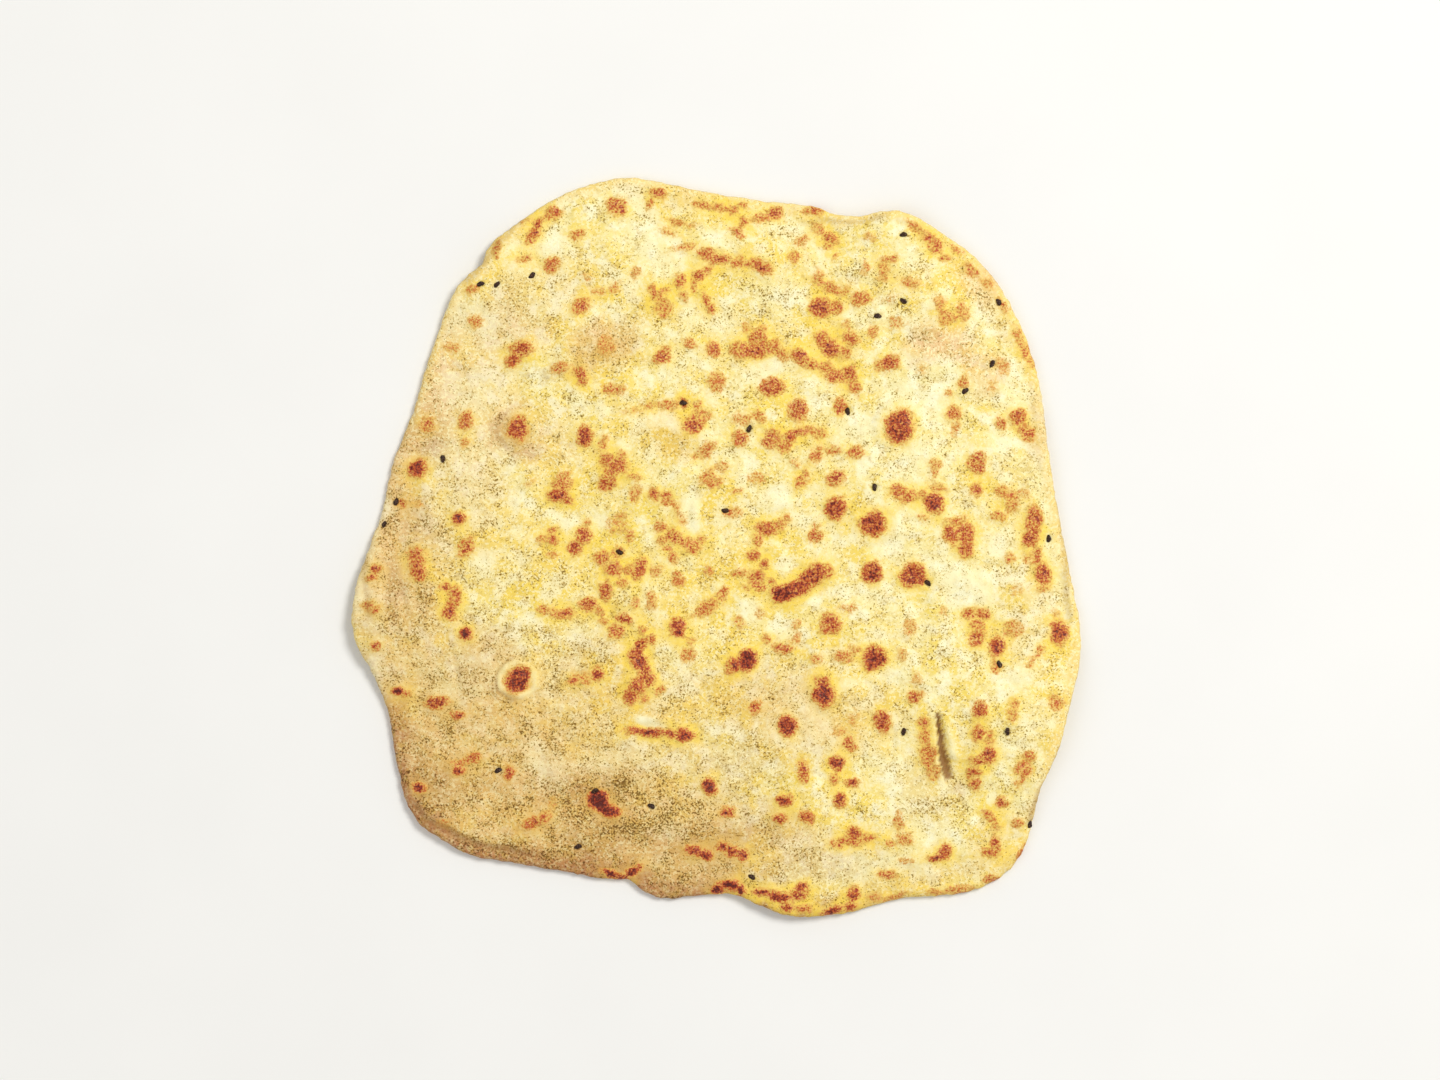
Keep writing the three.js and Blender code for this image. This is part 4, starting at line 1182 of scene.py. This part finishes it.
def crust_base(g):
    """The dough's colour: cream and butter clouds, with the tinted areas laid over them in turn. The tan,
    shade and brown layers also carry painted shade: the lower left side, the dips and the low rim painted
    darker.
    """
    drift = g.noise(12, 3, 0.55)
    cloud = g.noise(5.2, 4, 0.6, shift=3.1)
    mottle = g.noise(3.4, 4, 0.65, shift=8)
    mottled = g.step(mottle, 0.34, 0.6, 0.7, 1.0)
    unmottled = g.step(mottle, 0.34, 0.6, 1.0, 0.7)
    layers = (
        ("gold", g.step(cloud, 0.34, 0.6, 1.1, 0.6), GOLD),
        # Tan dough, and painted shade on the lower left.
        ("tan", mottled, TAN_AND_SHADE),
        ("peach", unmottled, PEACH),
        ("pale", unmottled, PALE),
        ("lip", 0.8, LIP),
        ("rim", g.step(g.field("tan"), 0.1, 0.6, 0.8, 0.0), RIM_COLOUR),
        # Painted shade, partly browner dough.
        ("shade", mottled, SHADE),
        # Painted shade: the lower left rim painted darker brown.
        ("brown", mottled, SHADED_RIM_COLOUR),
    )
    base = g.mix(g.step(drift, 0.4, 0.62), CREAM, BUTTER)
    base = g.mix(g.step(cloud, 0.46, 0.62, 0.0, 0.85), base, PALE)
    for name, share, colour in layers:
        base = g.mix(g.times(g.field(name), share), base, colour)
    return base


def crust_glow(g, base):
    """Yellow dough round the toast spots, where the flour has gone."""
    drift = g.times(g.minus(g.noise(2.6, 5, 0.75, shift=71), 0.5), 0.9)
    glow = g.plus(g.field("glow"), drift)
    share = g.times(g.step(glow, 0.08, 0.75), g.step(g.field("tan"), 0.25, 0.85, 0.86, 0.14))
    share = g.times(share, g.step(g.field("pale"), 0.35, 0.85, 1.0, 0.35))
    return g.mix(share, base, GLOW)


def crust_speckle(g, base):
    """The grain of the baked dough: soft olive clouds, flour, and fine dark grains that lie in patches."""
    thick = g.step(g.noise(6.0, 5, 0.7, shift=11), 0.38, 0.64, 0.08, 0.68)
    for name, weight in GRAIN_WEIGHTS.items():
        thick = g.plus(thick, g.times(g.field(name), weight))
    cloud = g.plus(g.noise(2.1, 5, 0.7, shift=21), g.times(g.minus(thick, 0.4), 0.2))
    base = g.mix(g.step(cloud, 0.46, 0.74, 0.0, 0.6), base, OLIVE)
    flour = g.step(g.noise(0.85, 2, 0.6, shift=33), 0.48, 0.62)
    for name, start, end, most, least in FLOUR_LIMITS:
        flour = g.times(flour, g.step(g.field(name), start, end, most, least))
    base = g.mix(flour, base, FLOUR)
    grain = g.noise(0.53, 2, 0.6, shift=1.7)
    level = g.plus(grain, g.times(g.minus(thick, 0.5), 0.22))
    base = g.mix(g.step(level, 0.53, 0.62), base, GRAIN_TINT, "MULTIPLY")
    base = g.mix(g.step(level, 0.61, 0.69), base, DARK_GRAIN_TINT, "MULTIPLY")
    return base, grain


def crust_toast(g, base):
    """Toast spots: a soft ochre stain, grainy orange edges and a red-brown crackled middle."""
    heat = g.field("toast")
    blot = g.minus(g.step(g.noise(1.5, 4, 0.7, shift=14), 0.36, 0.64), 0.5)
    fine = g.minus(g.step(g.noise(0.55, 2, 0.6, shift=17), 0.36, 0.64), 0.5)
    stain = g.plus(heat, g.times(blot, 0.22))
    base = g.mix(g.step(stain, 0.04, 0.32, 0.0, 0.8), base, STAIN)
    grainy = g.plus(g.times(blot, 0.26), g.times(fine, 0.55))
    share = g.times(g.step(g.plus(heat, grainy), 0.24, 0.54), g.step(heat, 0.05, 0.25))
    web = g.minus(g.cells(1.05), 0.5)
    crackle = g.plus(g.times(web, 0.32), g.times(grainy, 0.64))
    base = g.mix(share, base, g.ramp(g.plus(heat, crackle), TOAST_COLOURS))
    fleck = g.step(g.noise(0.75, 2, 0.6, shift=44), 0.54, 0.65, 0.0, 0.85)
    fleck = g.times(fleck, g.step(heat, 0.9, 0.45, 0.08, 0.85))
    base = g.mix(g.times(fleck, share), base, TOAST_FLECK)
    return base, share, web


def crust_material():
    g = Graph("crust_dough")
    base = crust_glow(g, crust_base(g))
    base, grain = crust_speckle(g, base)
    base, toasted, web = crust_toast(g, base)
    # Painted shade in the crease, in the rim folds and beside the ring walls.
    base = g.mix(g.times(g.field("crease"), 0.92), base, CREASE_SHADE_COLOUR)
    g.put(g.shader.inputs["Base Color"], base)
    dry = g.step(g.noise(2.0, 4, 0.7, shift=51), 0.35, 0.65, 0.62, 0.82)
    g.put(g.shader.inputs["Roughness"], g.blend(toasted, dry, g.step(web, -0.3, 0.3, 0.56, 0.44)))
    g.shader.inputs["Specular IOR Level"].default_value = 0.32
    fine = g.bump(grain, 0.22, 0.55)
    rough = g.bump(g.noise(1.6, 5, 0.7, shift=61), 0.5, 0.5, fine)
    cracks = g.times(g.step(web, 0.4, -0.4), toasted)
    g.put(g.shader.inputs["Normal"], g.bump(cracks, 0.25, 0.7, rough))
    return g.material


def seed_material():
    g = Graph("nigella_coat")
    tone = g.step(g.noise(0.5, 4, 0.7), 0.35, 0.7)
    base = g.mix(tone, SEED_BLACK, SEED_BROWN)
    # Painted highlight: small pale glints on the seed's coat.
    base = g.mix(g.step(g.noise(0.3, 3, 0.7, shift=4), 0.56, 0.7, 0.0, 0.6), base, SEED_GLINT)
    g.put(g.shader.inputs["Base Color"], base)
    g.put(g.shader.inputs["Roughness"], g.step(tone, 0.0, 1.0, 0.36, 0.7))
    g.shader.inputs["Specular IOR Level"].default_value = 0.28
    g.put(g.shader.inputs["Normal"], g.bump(g.cells(0.22), 0.09, 0.7))
    return g.material


# ---------- seeds ----------

SEED_RINGS = 16
SEED_SEGMENTS = 22
SEED_FILL = 0.95  # share of the CAD seed's width and height, so that ridges and lumps stay inside it
SEED_RIDGE = 0.13
SEED_FURROW = 0.06
SEED_WRINKLE = 0.05
SEED_LUMP = 0.22
SEED_TAPER = 0.3


def seed_axes(node):
    """Middle of a CAD seed, and its long, cross and upward directions with half sizes, in metres."""
    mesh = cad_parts[node].data
    co = np.array([vertex.co for vertex in mesh.vertices])
    middle = (co.min(0) + co.max(0)) / 2
    flat = co[:, :2] - co[:, :2].mean(0)
    _, axes = np.linalg.eigh(flat.T @ flat)
    long = axes[:, 1] if (flat @ axes[:, 1]).sum() >= 0 else -axes[:, 1]
    cross = np.array([-long[1], long[0]])
    sizes = [np.ptp(flat @ long) / 2, np.ptp(flat @ cross) / 2, np.ptp(co[:, 2]) / 2]
    return middle, long, cross, sizes


def seed_radius(tilt, turn, phases):
    """How far a seed's coat stands out: tilt runs from its thin tip to its round end, turn goes round it."""
    bulge = math.sin(tilt)
    ridge = 1 + SEED_RIDGE * math.cos(3 * turn + phases[0])
    ridge -= SEED_FURROW * abs(math.sin(5 * turn + phases[1]))
    wrinkle = 1 + SEED_WRINKLE * math.sin(7 * tilt + 2 * turn + phases[2]) * bulge
    lump = 1 + SEED_LUMP * math.sin(2 * tilt + turn + phases[3]) * bulge
    taper = 1 - SEED_TAPER * (0.5 + 0.5 * math.cos(tilt)) ** 2
    return bulge ** 0.85 * ridge * wrinkle * lump * taper


def build_seed(node, number):
    """One nigella seed: a drop with ridged, wrinkled flanks, where its CAD node lies."""
    draw = np.random.default_rng(900 + number)
    middle, long, cross, sizes = seed_axes(node)
    phases = draw.uniform(0, 6.28, 4)
    points = []
    for ring in range(SEED_RINGS + 1):
        tilt = math.pi * ring / SEED_RINGS
        for segment in range(SEED_SEGMENTS):
            turn = 2 * math.pi * segment / SEED_SEGMENTS
            out = SEED_FILL * seed_radius(tilt, turn, phases) if 0 < ring < SEED_RINGS else 0
            aside = out * math.cos(turn) * sizes[1]
            up = out * math.sin(turn) * sizes[2]
            flat = middle[:2] + long * math.cos(tilt) * sizes[0] + cross * aside
            points.append((flat[0], flat[1], middle[2] + up))
    faces = []
    for ring in range(SEED_RINGS):
        for segment in range(SEED_SEGMENTS):
            after = (segment + 1) % SEED_SEGMENTS
            a = ring * SEED_SEGMENTS
            b = a + SEED_SEGMENTS
            faces.append((a + segment, b + segment, b + after, a + after))
    piece = add_object(f"nigella_{number:02d}", points, faces)
    weld_poles(piece.data)
    piece.data.polygons.foreach_set("use_smooth", [True] * len(piece.data.polygons))
    return piece


def weld_poles(mesh):
    """Joins the points that meet at the two tips, and drops the faces that this flattens."""
    work = bmesh.new()
    work.from_mesh(mesh)
    bmesh.ops.remove_doubles(work, verts=work.verts, dist=1e-6)
    bmesh.ops.recalc_face_normals(work, faces=work.faces)
    work.to_mesh(mesh)
    work.free()


# ---------- stage, light and camera ----------

LENS = 85.0
SENSOR = 36.0
VIEW_WIDTH = 0.4038
VIEW_SHIFT = (0.00098, 0.00196)
WORLD_LIGHT = 0.5
FLOOR_REACH = 3.0
# Each light's place and size in metres, its power in watts and its colour.
LIGHTS = {
    "key": ((0.9, 0.7, 1.5), 0.7, 22.4, (1.0, 0.98, 0.94)),
    "fill": ((-1.2, -0.5, 1.4), 1.4, 5, (1.0, 1.0, 1.0)),
}


def build_floor(level):
    corners = ((-1, -1), (1, -1), (1, 1), (-1, 1))
    points = [(x * FLOOR_REACH, y * FLOOR_REACH, level) for x, y in corners]
    floor = add_object("floor", points, [(0, 1, 2, 3)])
    g = Graph("floor_paper")
    g.put(g.shader.inputs["Base Color"], g.mix(g.noise(60, 3, 0.5), PAPER, LIGHT_PAPER))
    g.shader.inputs["Roughness"].default_value = 0.9
    floor.data.materials.append(g.material)


def build_light(name, place, size, power, colour, target):
    light = bpy.data.lights.new(name, "AREA")
    light.shape = "DISK"
    light.size = size
    light.energy = power
    light.color = colour
    lamp = bpy.data.objects.new(name, light)
    lamp.location = place
    lamp.rotation_euler = (Vector(target) - Vector(place)).to_track_quat("-Z", "Y").to_euler()
    bpy.context.scene.collection.objects.link(lamp)


def build_world():
    world = bpy.data.worlds.new("studio")
    world.use_nodes = True
    back = world.node_tree.nodes["Background"]
    back.inputs["Color"].default_value = (1.0, 0.99, 0.97, 1.0)
    back.inputs["Strength"].default_value = WORLD_LIGHT
    bpy.context.scene.world = world


def build_camera(middle):
    """The camera looks straight down from where the bread is as large as in the photo."""
    camera = bpy.data.cameras.new("camera")
    camera.lens = LENS
    camera.sensor_width = SENSOR
    camera.clip_start = 0.01
    watcher = bpy.data.objects.new("camera", camera)
    height = VIEW_WIDTH * LENS / SENSOR
    watcher.location = (middle.x + VIEW_SHIFT[0], middle.y + VIEW_SHIFT[1], middle.z + height)
    bpy.context.scene.collection.objects.link(watcher)
    bpy.context.scene.camera = watcher


def main():
    bread = build_crust()
    bread.data.materials.append(crust_material())
    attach(bread, "root")
    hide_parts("bread")
    coat = seed_material()
    for number, node in enumerate(SEED_BOXES, 1):
        seed = build_seed(node, number)
        seed.data.materials.append(coat)
        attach(seed, "root")
        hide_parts(node)
    middle = (cad_box[0] + cad_box[1]) / 2
    build_floor(cad_box[0].z)
    build_world()
    for name, (place, size, power, colour) in LIGHTS.items():
        build_light(name, place, size, power, colour, middle)
    build_camera(middle)
    bpy.context.scene.view_settings.view_transform = "Standard"


main()
